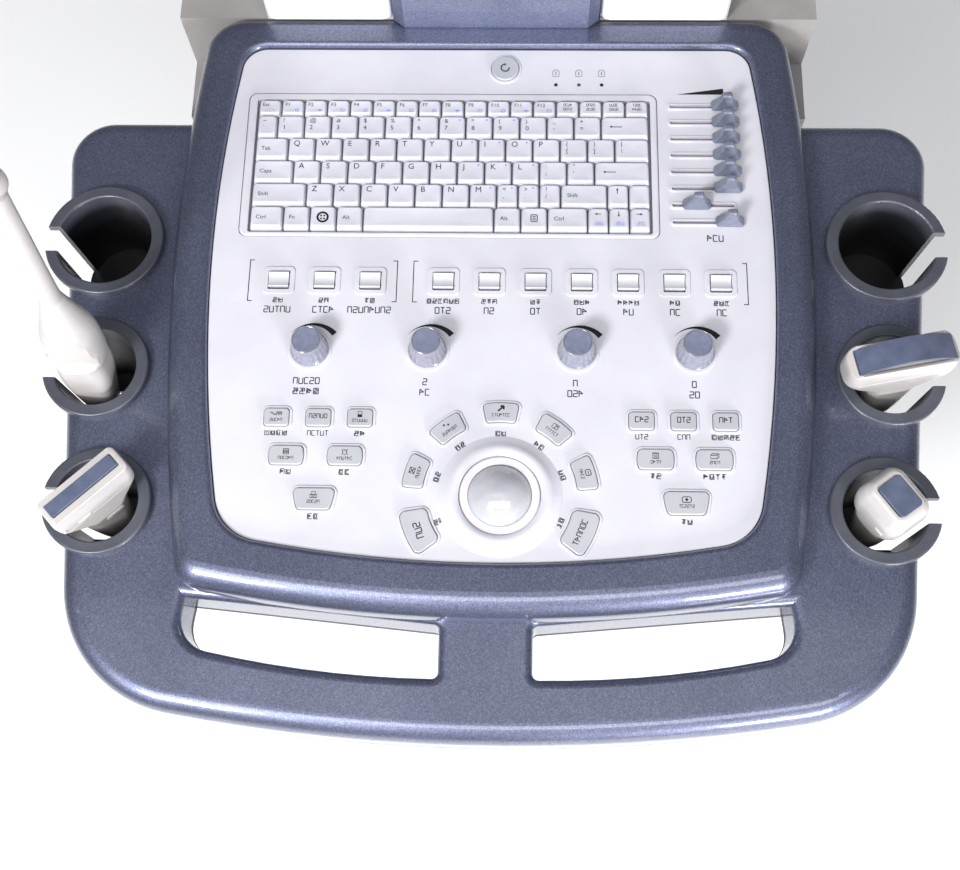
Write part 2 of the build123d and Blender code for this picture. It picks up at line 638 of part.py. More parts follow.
# ---------------------------------------------------------------- knobs and their encoders
SHAFT_R = 3.0
ENCODER_W, ENCODER_TOP, BUSH_TOP = 14.0, 104.0, 109.6
SHAFT_BOTTOM, SHAFT_FLOOR = 99.0, 98.0
SKIRT_R, SKIRT_BOTTOM, SKIRT_TOP = 13.0, 111.4, 114.6
CAP_R, KNOB_TOP = 10.0, 128.0
FLUTE_R, FLUTES = 1.1, 24

with BuildPart() as knob_encoders:
    for knob_x in KNOB_XS:
        with Locations((knob_x, KNOB_Y, BOARD_TOP)):
            Box(ENCODER_W, ENCODER_W, ENCODER_TOP - BOARD_TOP, align=(Align.CENTER, Align.CENTER, Align.MIN))
        with Locations((knob_x, KNOB_Y, ENCODER_TOP)):
            Cylinder(BUSH_R, BUSH_TOP - ENCODER_TOP, align=(Align.CENTER, Align.CENTER, Align.MIN))
        with Locations((knob_x, KNOB_Y, SHAFT_FLOOR)):
            Cylinder(SHAFT_R + 0.05, BUSH_TOP, mode=Mode.SUBTRACT,
                     align=(Align.CENTER, Align.CENTER, Align.MIN))
finish(knob_encoders, "knob_encoders")

for knob_name, knob_x in zip(("value_knob", "doppler_knob", "colour_knob", "gain_knob"), KNOB_XS):
    with BuildPart() as knob:
        with BuildSketch(Plane.XZ.offset(-KNOB_Y)):
            with BuildLine():
                Polyline((knob_x, SHAFT_BOTTOM), (knob_x + SHAFT_R, SHAFT_BOTTOM),
                         (knob_x + SHAFT_R, SKIRT_BOTTOM), (knob_x + SKIRT_R, SKIRT_BOTTOM),
                         (knob_x + SKIRT_R, SKIRT_TOP - 1.6), (knob_x + CAP_R + 1, SKIRT_TOP),
                         (knob_x + CAP_R - 0.6, KNOB_TOP), (knob_x, KNOB_TOP), (knob_x, SHAFT_BOTTOM))
            make_face()
        revolve(axis=Axis((knob_x, KNOB_Y, 0), (0, 0, 1)))
        fillet(knob.edges().group_by(Axis.Z)[-1], 1.4)
        with BuildSketch(Plane.XY.offset(SKIRT_BOTTOM)):
            with Locations((knob_x, KNOB_Y)):
                with PolarLocations(SKIRT_R + 0.4, FLUTES):
                    Circle(FLUTE_R)
        extrude(amount=SKIRT_TOP - SKIRT_BOTTOM, mode=Mode.SUBTRACT)
    finish(knob, knob_name)

# ---------------------------------------------------------------- depth sliders
POT_TOP, POT_W, POT_L = 104.0, 9.0, 60.0
GROOVE_W, GROOVE_FLOOR = 1.9, 99.0
LEVER_W, LEVER_L, LEVER_BOTTOM = 1.2, 5.0, 100.0
GRIP_BOTTOM, GRIP_TOP, GRIP_D = 111.4, 127.0, 8.4
GRIP_FOOT, GRIP_NECK = 9.8, 3.8

with BuildPart() as slider_pots:
    for slot_y in slider_rows():
        with Locations((SLIDER_X, slot_y, BOARD_TOP)):
            Box(POT_L, POT_W, POT_TOP - BOARD_TOP, align=(Align.CENTER, Align.CENTER, Align.MIN))
        with Locations((SLIDER_X, slot_y, GROOVE_FLOOR)):
            Box(SLIDER_SLOT + 5, GROOVE_W, POT_TOP, mode=Mode.SUBTRACT,
                align=(Align.CENTER, Align.CENTER, Align.MIN))
finish(slider_pots, "slider_pots")

for number, slot_y in enumerate(slider_rows(), 1):
    grip_x = SLIDER_SET_BACK if number == 7 else SLIDER_HOME
    with BuildPart() as slider:
        with BuildSketch(Plane.XZ.offset(-slot_y - GRIP_D / 2)):
            with BuildLine():
                Line((grip_x - GRIP_FOOT, GRIP_BOTTOM), (grip_x + GRIP_FOOT, GRIP_BOTTOM))
                for side in (1, -1):
                    Line((grip_x + side * GRIP_FOOT, GRIP_BOTTOM), (grip_x + side * GRIP_FOOT, GRIP_BOTTOM + 2))
                    ThreePointArc((grip_x + side * GRIP_FOOT, GRIP_BOTTOM + 2),
                                  (grip_x + side * (GRIP_NECK + 1.2), GRIP_BOTTOM + 6.4),
                                  (grip_x + side * GRIP_NECK, GRIP_TOP))
                Line((grip_x + GRIP_NECK, GRIP_TOP), (grip_x - GRIP_NECK, GRIP_TOP))
            make_face()
        extrude(amount=GRIP_D)
        fillet(slider.edges().group_by(Axis.Z)[-1], 1.5)
        with Locations((grip_x, slot_y, LEVER_BOTTOM)):
            Box(LEVER_L, LEVER_W, GRIP_BOTTOM - LEVER_BOTTOM + 1,
                align=(Align.CENTER, Align.CENTER, Align.MIN))
    finish(slider, f"depth_slider_{number}")

# ---------------------------------------------------------------- probe cups
for cup_name, (cup_x, cup_y, rim_r, slot_w) in CUPS.items():
    inner_r = rim_r - RIM_WIDTH
    floor_r = inner_r - CUP_TAPER
    drain_r = CUP_DRAINS[cup_name]
    slot_bottom = CUP_BOTTOM if drain_r else CUP_BOTTOM + CUP_WALL
    with BuildPart() as cups:
        with BuildSketch(Plane.XZ.offset(-cup_y)):
            with BuildLine():
                Polyline((cup_x + inner_r, RIM_TOP), (cup_x + rim_r, RIM_TOP), (cup_x + rim_r, DECK_TOP),
                         (cup_x + inner_r + CUP_WALL, DECK_TOP), (cup_x + floor_r + CUP_WALL, CUP_BOTTOM),
                         (cup_x + drain_r, CUP_BOTTOM), (cup_x + drain_r, CUP_BOTTOM + CUP_WALL),
                         (cup_x + floor_r, CUP_BOTTOM + CUP_WALL), (cup_x + inner_r, RIM_TOP))
            make_face()
        revolve(axis=Axis((cup_x, cup_y, 0), (0, 0, 1)))
        rim_edges = cups.edges().filter_by(GeomType.CIRCLE).filter_by(
            lambda e: e.radius > rim_r - 0.01 or (e.center().Z > RIM_TOP - 0.01))
        fillet(rim_edges.group_by(Axis.Z)[-1], 1.6)
        with BuildSketch(Plane.XY.offset(slot_bottom)):
            with Locations((cup_x, cup_y)):
                Rectangle(2 * rim_r, slot_w, align=(Align.MIN, Align.CENTER))
        extrude(amount=RIM_TOP - slot_bottom, mode=Mode.SUBTRACT)
        mirror(about=Plane.YZ)
    finish(cups, f"{cup_name}_cups")

# ---------------------------------------------------------------- probes

def stack(plane, sections, rounding=0.48):
    """A body through (height, width, depth) sections whose corners are rounded by a share of their size."""
    with BuildPart(mode=Mode.PRIVATE) as body:
        for height, width, depth in sections:
            with BuildSketch(plane.offset(height)):
                RectangleRounded(width, depth, rounding * min(width, depth))
        loft()
    return body.part


def cable_gland(plane, bottom, top, radius):
    """The moulded strain relief that the lead leaves by."""
    with BuildPart(mode=Mode.PRIVATE) as gland:
        with BuildSketch(plane.offset(bottom)):
            Circle(radius * 0.7)
        with BuildSketch(plane.offset(top)):
            Circle(radius)
        loft()
    return gland.part


def cup_plane(cup, side, turn):
    """The plane at the origin's level on a cup's axis, with X turned to the probe's long side."""
    x, y = CUPS[cup][:2]
    angle = math.radians(turn)
    return Plane(origin=(side * x, y, 0), x_dir=(math.cos(angle), math.sin(angle), 0), z_dir=(0, 0, 1))


GLAND_BOTTOM, BODY_BOTTOM = 4.0, 27.0

# flat linear probe, front left cup
LINEAR_PLANE = cup_plane("front", -1, 43.6)
LINEAR_TOP = 129.0
LENS_SEAT = 2.0
LENS_PROUD = 0.8
with BuildPart() as linear_probe:
    add(stack(LINEAR_PLANE, [(BODY_BOTTOM, 19, 17), (50, 27, 22), (75, 33, 24), (96, 40, 25)]))
    add(stack(LINEAR_PLANE, [(96, 40, 25), (104, 50, 26), (110, 58, 26)]))
    add(stack(LINEAR_PLANE, [(110, 58, 26), (118, 62, 26), (LINEAR_TOP, 60, 20)], 0.3))
    add(cable_gland(LINEAR_PLANE, GLAND_BOTTOM, BODY_BOTTOM, 6.5))
    with BuildSketch(LINEAR_PLANE.offset(LINEAR_TOP - LENS_SEAT)):
        RectangleRounded(52.5, 10, 0.6)
    extrude(amount=LENS_SEAT, mode=Mode.SUBTRACT)
finish(linear_probe, "linear_probe")

with BuildPart() as linear_lens:
    with BuildSketch(LINEAR_PLANE.offset(LINEAR_TOP - LENS_SEAT)):
        RectangleRounded(52.5, 10, 0.6)
    extrude(amount=LENS_SEAT + LENS_PROUD)
    fillet(linear_lens.edges().group_by(Axis.Z)[-1], 0.6)
finish(linear_lens, "linear_lens")

# curved abdominal probe, mid right cup
CONVEX_PLANE = cup_plane("mid", 1, 11.5)
CONVEX_R = 62.0
CONVEX_TOP = 139.0
CONVEX_HEAD_HALF, CONVEX_HEAD_D = 38.0, 26.0
CONVEX_LENS_HALF, CONVEX_LENS_D = 32.5, 17.6
CONVEX_FRONT = Plane(origin=CONVEX_PLANE.origin, x_dir=CONVEX_PLANE.x_dir, z_dir=-CONVEX_PLANE.y_dir)


def crown(half_chord, top, radius):
    """Height of a crowned end at half a chord from its middle."""
    return top - radius + math.sqrt(radius ** 2 - half_chord ** 2)


with BuildPart() as convex_probe:
    add(stack(CONVEX_PLANE, [(BODY_BOTTOM, 19, 17), (50, 28, 23), (75, 34, 25), (97, 42, 26)]))
    add(cable_gland(CONVEX_PLANE, GLAND_BOTTOM, BODY_BOTTOM, 6.5))
    with BuildSketch(CONVEX_FRONT.offset(-CONVEX_HEAD_D / 2)):
        with BuildLine():
            ThreePointArc((-CONVEX_HEAD_HALF, crown(CONVEX_HEAD_HALF, CONVEX_TOP, CONVEX_R)), (0, CONVEX_TOP),
                          (CONVEX_HEAD_HALF, crown(CONVEX_HEAD_HALF, CONVEX_TOP, CONVEX_R)))
            Polyline((CONVEX_HEAD_HALF, crown(CONVEX_HEAD_HALF, CONVEX_TOP, CONVEX_R)), (36, 110), (21, 97),
                     (-21, 97), (-36, 110),
                     (-CONVEX_HEAD_HALF, crown(CONVEX_HEAD_HALF, CONVEX_TOP, CONVEX_R)))
        make_face()
    extrude(amount=CONVEX_HEAD_D)
    fillet(convex_probe.edges().filter_by(GeomType.CIRCLE).filter_by(lambda e: e.radius > CONVEX_R - 1), 3.4)
    with BuildSketch(CONVEX_FRONT.offset(-CONVEX_LENS_D / 2)):
        with BuildLine():
            ThreePointArc((-CONVEX_LENS_HALF, crown(CONVEX_LENS_HALF, CONVEX_TOP - LENS_SEAT, CONVEX_R)),
                          (0, CONVEX_TOP - LENS_SEAT),
                          (CONVEX_LENS_HALF, crown(CONVEX_LENS_HALF, CONVEX_TOP - LENS_SEAT, CONVEX_R)))
            Polyline((CONVEX_LENS_HALF, crown(CONVEX_LENS_HALF, CONVEX_TOP - LENS_SEAT, CONVEX_R)),
                     (CONVEX_LENS_HALF, CONVEX_TOP + 5), (-CONVEX_LENS_HALF, CONVEX_TOP + 5),
                     (-CONVEX_LENS_HALF, crown(CONVEX_LENS_HALF, CONVEX_TOP - LENS_SEAT, CONVEX_R)))
        make_face()
    extrude(amount=CONVEX_LENS_D, mode=Mode.SUBTRACT)
finish(convex_probe, "convex_probe")

with BuildPart() as convex_lens:
    with BuildSketch(CONVEX_FRONT.offset(-CONVEX_LENS_D / 2)):
        with BuildLine():
            for top in (CONVEX_TOP - LENS_SEAT, CONVEX_TOP + LENS_PROUD):
                ThreePointArc((-CONVEX_LENS_HALF, crown(CONVEX_LENS_HALF, top, CONVEX_R)), (0, top),
                              (CONVEX_LENS_HALF, crown(CONVEX_LENS_HALF, top, CONVEX_R)))
            for side in (-1, 1):
                Line((side * CONVEX_LENS_HALF, crown(CONVEX_LENS_HALF, CONVEX_TOP - LENS_SEAT, CONVEX_R)),
                     (side * CONVEX_LENS_HALF, crown(CONVEX_LENS_HALF, CONVEX_TOP + LENS_PROUD, CONVEX_R)))
        make_face()
    extrude(amount=CONVEX_LENS_D)
finish(convex_lens, "convex_lens")

# small curved probe, front right cup
MICRO_PLANE = cup_plane("front", 1, -54)
MICRO_TOP = 129.5
with BuildPart() as micro_probe:
    add(stack(MICRO_PLANE, [(BODY_BOTTOM, 18, 17), (50, 25, 22), (75, 29, 25), (96, 32, 27)]))
    add(stack(MICRO_PLANE, [(96, 32, 27), (103, 38, 33), (114, 40, 35), (122, 38, 32), (MICRO_TOP, 29, 22)], 0.24))
    add(cable_gland(MICRO_PLANE, GLAND_BOTTOM, BODY_BOTTOM, 6.5))
    with BuildSketch(MICRO_PLANE.offset(MICRO_TOP - LENS_SEAT)):
        RectangleRounded(24.4, 17.6, 3)
    extrude(amount=LENS_SEAT, mode=Mode.SUBTRACT)
finish(micro_probe, "micro_convex_probe")

with BuildPart() as micro_lens:
    with BuildSketch(MICRO_PLANE.offset(MICRO_TOP - LENS_SEAT)):
        RectangleRounded(24.4, 17.6, 3)
    extrude(amount=LENS_SEAT + LENS_PROUD)
    fillet(micro_lens.edges().group_by(Axis.Z)[-1], 0.7)
finish(micro_lens, "micro_convex_lens")

# long endocavity probe, mid left cup, leaning back
ENDO_LEAN = 9.5
ENDO_FORWARD, ENDO_OUTWARD = 4.0, 4.1     # where the probe crosses the rim, measured from the cup's middle
ENDO_PLANE = Plane(origin=(-CUPS["mid"][0] - ENDO_OUTWARD, CUPS["mid"][1] - ENDO_FORWARD, RIM_TOP), x_dir=(1, 0, 0),
                   z_dir=(0, math.sin(math.radians(ENDO_LEAN)), math.cos(math.radians(ENDO_LEAN))))
ENDO_SHAFT_R, ENDO_TIP_R, ENDO_TIP = 7.0, 10.5, 214.0
with BuildPart() as endocavity_probe:
    add(cable_gland(ENDO_PLANE, -61, -54, 6))
    add(stack(ENDO_PLANE, [(-54, 15, 15), (-36, 22, 21), (0, 32, 30), (22, 33, 31)], 0.36))
    add(stack(ENDO_PLANE, [(22, 35, 34), (34, 38, 37), (52, 37, 36), (70, 26, 26), (86, 17, 17), (96, 14, 14)], 0.49))
    with BuildSketch(ENDO_PLANE.offset(96)):
        Circle(ENDO_SHAFT_R)
    extrude(amount=ENDO_TIP - 96 - 24)
    with BuildSketch(Plane(origin=ENDO_PLANE.origin, x_dir=(1, 0, 0), z_dir=-ENDO_PLANE.y_dir)):
        with BuildLine():
            Line((0, ENDO_TIP - 26), (ENDO_SHAFT_R, ENDO_TIP - 26))
            Spline((ENDO_SHAFT_R, ENDO_TIP - 26), (ENDO_TIP_R, ENDO_TIP - 14), (0, ENDO_TIP),
                   tangents=((0, 1), (-1, 0)))
            Line((0, ENDO_TIP), (0, ENDO_TIP - 26))
        make_face()
    revolve(axis=Axis(ENDO_PLANE.origin, ENDO_PLANE.z_dir))
finish(endocavity_probe, "endocavity_probe")

# ---------------------------------------------------------------- rear body, monitor neck and covers
REAR_HALF, REAR_TOP_HALF = 236.0, 226.0
REAR_FRONT, REAR_STEP, REAR_BACK = 90.0, BEZEL_REAR + 1.0, 236.0
REAR_BOTTOM, REAR_TOP = 8.0, 106.0
NECK_HALF, NECK_FRONT, NECK_BACK = 75.0, 125.5, 205.0
NECK_BOTTOM, NECK_TOP = 106.0, 160.0
COVER_FRONT = 132.5
COVER_IN, COVER_OUT, COVER_TOP = 76.2, 170.0, 148.0
MONITOR_X, MONITOR_Y, MONITOR_R = 100.0, 40.0, 2.7

with BuildPart() as rear_housing:
    with BuildSketch(Plane.YZ.offset(-REAR_HALF)):
        with BuildLine():
            Polyline((REAR_FRONT, REAR_BOTTOM), (REAR_BACK - 14, REAR_BOTTOM), (REAR_BACK, REAR_BOTTOM + 20),
                     (REAR_BACK, REAR_TOP), (REAR_STEP, REAR_TOP), (REAR_STEP, UNDER_BOTTOM - 0.2),
                     (REAR_FRONT, UNDER_BOTTOM - 0.2), (REAR_FRONT, REAR_BOTTOM))
        make_face()
    extrude(amount=2 * REAR_HALF)
    fillet(rear_housing.edges().filter_by(Axis.Z).sort_by(Axis.Y)[-2:], 12)
    with BuildSketch(Plane.YZ.offset(WALL - REAR_HALF)):
        with BuildLine():
            Polyline((REAR_FRONT + WALL, REAR_BOTTOM + WALL), (REAR_BACK - 15, REAR_BOTTOM + WALL),
                     (REAR_BACK - WALL, REAR_BOTTOM + 22), (REAR_BACK - WALL, REAR_TOP - WALL),
                     (REAR_STEP + WALL, REAR_TOP - WALL), (REAR_STEP + WALL, UNDER_BOTTOM - WALL),
                     (REAR_FRONT + WALL, UNDER_BOTTOM - WALL), (REAR_FRONT + WALL, REAR_BOTTOM + WALL))
        make_face()
    extrude(amount=2 * (REAR_HALF - WALL), mode=Mode.SUBTRACT)
    with BuildSketch(Plane.XZ.offset(-REAR_BACK)):
        with Locations((0, (REAR_BOTTOM + REAR_TOP) / 2 + 6)):
            with GridLocations(VENT_PITCH, 0, REAR_VENTS, 1):
                SlotOverall(VENT_L, VENT_W, rotation=90)
    extrude(amount=2 * WALL, both=True, mode=Mode.SUBTRACT)
finish(rear_housing, "rear_housing")

with BuildPart() as monitor_neck:
    with BuildSketch(Plane.XY.offset(NECK_BOTTOM)):
        with BuildLine():
            Polyline((-NECK_HALF, NECK_BACK), (-NECK_HALF, NECK_FRONT + 6.5), (8 - NECK_HALF, NECK_FRONT),
                     (NECK_HALF - 8, NECK_FRONT), (NECK_HALF, NECK_FRONT + 6.5), (NECK_HALF, NECK_BACK),
                     (-NECK_HALF, NECK_BACK))
        make_face()
    extrude(amount=NECK_TOP - NECK_BOTTOM)
    fillet(monitor_neck.edges().group_by(Axis.Z)[-1], 5)
    with BuildSketch(Plane.XY.offset(NECK_BOTTOM)):
        with Locations((0, (NECK_BACK + NECK_FRONT) / 2 + 2)):
            Rectangle(2 * NECK_HALF - 12, NECK_BACK - NECK_FRONT - 16)
    extrude(amount=NECK_TOP - NECK_BOTTOM - 6, mode=Mode.SUBTRACT)
    with BuildSketch(Plane.XY.offset(NECK_TOP - 6)):
        with Locations((0, (NECK_BACK + NECK_FRONT) / 2)):
            with GridLocations(MONITOR_X, MONITOR_Y, 2, 2):
                Circle(MONITOR_R)
            RectangleRounded(44, 24, 6)
    extrude(amount=6, mode=Mode.SUBTRACT)
    with BuildSketch(Plane.XY.offset(DECK_TOP)):
        add(bezel_outline(0.6))
    extrude(amount=RIDGE_TOP - DECK_TOP, mode=Mode.SUBTRACT)
finish(monitor_neck, "monitor_neck")

with BuildPart() as neck_covers:
    with BuildSketch(Plane.XY.offset(NECK_BOTTOM)):
        for side in (-1, 1):
            with Locations((side * (COVER_IN + COVER_OUT) / 2, (COVER_FRONT + NECK_BACK) / 2)):
                RectangleRounded(COVER_OUT - COVER_IN, NECK_BACK - COVER_FRONT, 8)
    extrude(amount=COVER_TOP - NECK_BOTTOM)
    fillet(neck_covers.edges().group_by(Axis.Z)[-1], 4)
    with BuildSketch(Plane.XY.offset(NECK_BOTTOM)):
        for side in (-1, 1):
            with Locations((side * (COVER_IN + COVER_OUT) / 2, (COVER_FRONT + NECK_BACK) / 2 + 3)):
                Rectangle(COVER_OUT - COVER_IN - 2 * WALL, NECK_BACK - COVER_FRONT - 4 * WALL)
    extrude(amount=COVER_TOP - NECK_BOTTOM - WALL, mode=Mode.SUBTRACT)
    with BuildSketch(Plane.XY.offset(DECK_TOP)):
        add(bezel_outline(0.6))
    extrude(amount=RIDGE_TOP - DECK_TOP, mode=Mode.SUBTRACT)
finish(neck_covers, "neck_covers")
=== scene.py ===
"""Looks of the ultrasound machine's control console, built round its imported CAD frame.

Lengths are in millimetres and are turned into metres by MM. A point is given as x, y, z in the
frame's own axes: +X is the operator's right, +Y points away from the operator and +Z is up.
"""

import math
import random

import bmesh
import bpy
from mathutils import Matrix, Vector


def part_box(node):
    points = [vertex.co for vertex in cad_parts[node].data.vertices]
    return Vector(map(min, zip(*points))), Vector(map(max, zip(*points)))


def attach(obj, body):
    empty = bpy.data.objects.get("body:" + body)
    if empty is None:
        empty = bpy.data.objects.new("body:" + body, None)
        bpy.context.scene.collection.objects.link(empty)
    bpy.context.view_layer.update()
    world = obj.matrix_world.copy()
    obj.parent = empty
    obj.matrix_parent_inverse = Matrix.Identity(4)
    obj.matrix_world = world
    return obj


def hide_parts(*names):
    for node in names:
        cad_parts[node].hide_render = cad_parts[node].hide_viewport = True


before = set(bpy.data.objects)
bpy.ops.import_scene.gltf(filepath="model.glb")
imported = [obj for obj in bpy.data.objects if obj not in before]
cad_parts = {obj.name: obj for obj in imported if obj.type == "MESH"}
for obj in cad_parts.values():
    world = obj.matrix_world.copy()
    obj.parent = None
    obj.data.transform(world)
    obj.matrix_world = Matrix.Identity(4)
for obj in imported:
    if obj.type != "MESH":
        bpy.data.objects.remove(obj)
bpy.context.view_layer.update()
MM = 0.001
ROOT = "console"
scene = bpy.context.scene
random.seed(7)


# -------------------- camera
CAMERA_AT = (19.2, -470.2, 943.0)
CAMERA_LENS = 50.0
CAMERA_PITCH, CAMERA_YAW, CAMERA_ROLL = 71.226, -5.027, -4.113


def add_camera():
    """The camera looks steeply down from the operator's side."""
    pitch, yaw, roll = (math.radians(a) for a in (CAMERA_PITCH, CAMERA_YAW, CAMERA_ROLL))
    ahead = Vector((math.sin(yaw) * math.cos(pitch), math.cos(yaw) * math.cos(pitch), -math.sin(pitch)))
    right = Vector((math.cos(yaw), -math.sin(yaw), 0))
    up = right.cross(ahead)
    across = math.cos(roll) * right + math.sin(roll) * up
    upward = math.cos(roll) * up - math.sin(roll) * right
    camera = bpy.data.objects.new("camera", bpy.data.cameras.new("camera"))
    camera.data.lens = CAMERA_LENS
    camera.data.sensor_width = 36
    camera.data.clip_start = 0.05
    turned = Matrix((across, upward, -ahead)).transposed().to_4x4()
    camera.matrix_world = Matrix.Translation(Vector(CAMERA_AT) * MM) @ turned
    scene.collection.objects.link(camera)
    scene.camera = camera


# -------------------- material helpers
def colour(code):
    """A linear colour from a hex code."""
    parts = [int(code[i:i + 2], 16) / 255 for i in (1, 3, 5)]
    return tuple(c / 12.92 if c <= 0.04045 else ((c + 0.055) / 1.055) ** 2.4 for c in parts) + (1.0,)


class Finish:
    """A material made of nodes, with short calls for the usual parts of one."""

    def __init__(self, name, **sockets):
        self.material = bpy.data.materials.new(name)
        self.material.use_nodes = True
        self.nodes = self.material.node_tree.nodes
        self.links = self.material.node_tree.links
        self.shader = self.nodes["Principled BSDF"]
        self.place = self.nodes.new("ShaderNodeTexCoord").outputs["Object"]
        for socket, value in sockets.items():
            self.shader.inputs[socket.replace("_", " ")].default_value = value

    def add(self, kind, source, socket, **sockets):
        """A new node fed by source."""
        node = self.nodes.new(f"ShaderNode{kind}")
        for name, value in sockets.items():
            node.inputs[name.replace("_", " ")].default_value = value
        self.links.new(source, node.inputs[socket])
        return node

    def noise(self, size, detail=2.0, stretch=(1, 1, 1)):
        """Noise whose spots are about size millimetres across."""
        space = self.add("Mapping", self.place, "Vector", Scale=stretch).outputs["Vector"]
        return self.add("TexNoise", space, "Vector", Scale=1 / (size * MM), Detail=detail).outputs["Fac"]

    def cells(self, size):
        """A random value in each cell of about size millimetres."""
        return self.add("TexVoronoi", self.place, "Vector", Scale=1 / (size * MM)).outputs["Color"]

    def ramp(self, value, *stops):
        """A colour ramp through (position, hex code) stops."""
        node = self.add("ValToRGB", value, "Fac")
        marks = node.color_ramp.elements
        while len(marks) < len(stops):
            marks.new(0.5)
        for mark, (position, tint) in zip(marks, stops):
            mark.position = position
            mark.color = colour(tint)
        return node.outputs["Color"]

    def mix(self, share, first, second, blend="MIX"):
        """Two colours mixed by a number or by a texture."""
        node = self.nodes.new("ShaderNodeMix")
        node.data_type = "RGBA"
        node.blend_type = blend
        for socket, value in (("Factor", share), ("A", first), ("B", second)):
            spot = next(s for s in node.inputs if s.name == socket and s.enabled)
            if isinstance(value, bpy.types.NodeSocket):
                self.links.new(value, spot)
            else:
                spot.default_value = value
        return next(s for s in node.outputs if s.enabled)

    def spread(self, value, low, high):
        """A value from 0 to 1 brought to the range from low to high."""
        return self.add("MapRange", value, "Value", To_Min=low, To_Max=high).outputs["Result"]

    def height(self, low, high):
        """A value that rises from 0 to 1 between two heights in millimetres."""
        z = self.add("SeparateXYZ", self.place, "Vector").outputs["Z"]
        return self.add("MapRange", z, "Value", From_Min=low * MM, From_Max=high * MM).outputs["Result"]

    def bump(self, *layers):
        """Fine relief from (height, depth in millimetres) layers."""
        normal = None
        for relief, depth in layers:
            node = self.add("Bump", relief, "Height", Distance=depth * MM)
            if normal is not None:
                self.links.new(normal, node.inputs["Normal"])
            normal = node.outputs["Normal"]
        self.links.new(normal, self.shader.inputs["Normal"])

    def set(self, socket, value):
        """A texture joined to one of the shader's sockets."""
        self.links.new(value, self.shader.inputs[socket])

    def mottle(self, low, high, *texture):
        """A base colour that drifts between two codes."""
        self.set("Base Color", self.ramp(self.noise(*texture), (0.3, low), (0.7, high)))

    def rough(self, low, high, *texture):
        """A roughness that drifts between two values."""
        self.set("Roughness", self.spread(self.noise(*texture), low, high))


# -------------------- materials
def metallic_paint(name, low, middle, high):
    """Blue-grey metallic lacquer with fine flakes under a clear coat."""
    paint = Finish(name, Metallic=0.78, Coat_Weight=0.9, Coat_Roughness=0.09)
    flakes = paint.cells(0.6)
    base = paint.ramp(flakes, (0.0, low), (0.5, middle), (1.0, high))
    cloud = paint.ramp(paint.noise(70), (0.3, "#ECECF0"), (0.7, "#FFFFFF"))
    paint.set("Base Color", paint.mix(1.0, base, cloud, "MULTIPLY"))
    paint.rough(0.4, 0.52, 1.1)
    paint.bump((paint.noise(2.6, 1.0), 0.012), (flakes, 0.008))
    return paint.material


def cup_plastic():
    """Satin grey plastic of the probe cups, scuffed a little at the rim, with painted shade that makes it
    darker towards the bottom inside.
    """
    plastic = Finish("cup_grey_plastic", Metallic=0.3, Coat_Weight=0.25, Coat_Roughness=0.25)
    tone = plastic.ramp(plastic.noise(16, 3), (0.3, "#4A4C56"), (0.75, "#565963"))
    scuff = plastic.ramp(plastic.noise(2.4, 6, (1, 1, 4)), (0.66, "#000000"), (0.8, "#3C3E46"))
    worn = plastic.mix(0.3, tone, scuff, "SCREEN")
    # painted shade: the colour darkens by height to near black below the rim, standing in for the shade down
    # inside the cups
    depth = plastic.ramp(plastic.height(40, 91), (0.0, "#08080A"), (0.45, "#2A2A2E"),
                         (0.8, "#77787C"), (1.0, "#FFFFFF"))
    plastic.set("Base Color", plastic.mix(1.0, worn, depth, "MULTIPLY"))
    plastic.rough(0.36, 0.48, 5, 3)
    plastic.bump((plastic.noise(0.55, 2), 0.02))
    return plastic.material


def moulded(name, tones, spots, rough, patches, grain, relief, **sockets):
    """Moulded plastic or rubber: the tone drifts over spots, the roughness over patches, and a grain shows."""
    plastic = Finish(name, **sockets)
    plastic.mottle(*tones, *spots)
    plastic.rough(*rough, *patches)
    plastic.bump((plastic.noise(*grain), relief))
    return plastic.material


def white_plastic(name, low, high, roughness, grain, depth, coat=0.0):
    """White moulded plastic; grain and depth are the size and the depth of its texture."""
    return moulded(name, (low, high), (38, 3), (roughness - 0.05, roughness + 0.06), (7, 3), (grain, 2), depth,
                   Coat_Weight=coat, Coat_Roughness=0.2, Subsurface_Weight=0.05, Subsurface_Scale=1.5 * MM)


def milky_ball():
    """Polished milky resin with faint marbling."""
    resin = Finish("milky_resin", Coat_Weight=1.0, Coat_Roughness=0.02, Subsurface_Weight=0.35,
                   Subsurface_Scale=6 * MM)
    resin.mottle("#ABACB2", "#BDBEC4", 14, 4)
    resin.rough(0.08, 0.16, 3)
    return resin.material


def tinted_plastic(name, low, high, roughness, clear=0.0):
    """Semi-gloss coloured plastic; clear is how much light goes through it."""
    return moulded(name, (low, high), (4, 3), (roughness - 0.05, roughness + 0.05), (2.5,), (0.8, 2), 0.012,
                   Coat_Weight=0.35, Coat_Roughness=0.16, Subsurface_Weight=clear, Subsurface_Scale=3 * MM)


def zinc_steel():
    """Zinc-plated steel with faint brushing and spangle."""
    steel = Finish("zinc_steel", Metallic=1.0)
    spangle = steel.cells(6)
    steel.set("Base Color", steel.ramp(spangle, (0.0, "#A9ABAE"), (1.0, "#C6C8CB")))
    steel.rough(0.26, 0.42, 1.5, 4, (1, 9, 1))
    steel.bump((steel.noise(0.9, 3, (1, 12, 1)), 0.01))
    return steel.material


def printed_board():
    """Green solder mask with copper tracks showing through it."""
    board = Finish("circuit_board", Coat_Weight=0.4, Coat_Roughness=0.2)
    tracks = board.ramp(board.noise(5, 1, (1, 4, 1)), (0.47, "#1C4A2C"), (0.5, "#2C6A3F"),
                        (0.53, "#1C4A2C"))
    board.set("Base Color", tracks)
    board.rough(0.35, 0.5, 3)
    board.bump((board.noise(5, 1, (1, 4, 1)), 0.03))
    return board.material


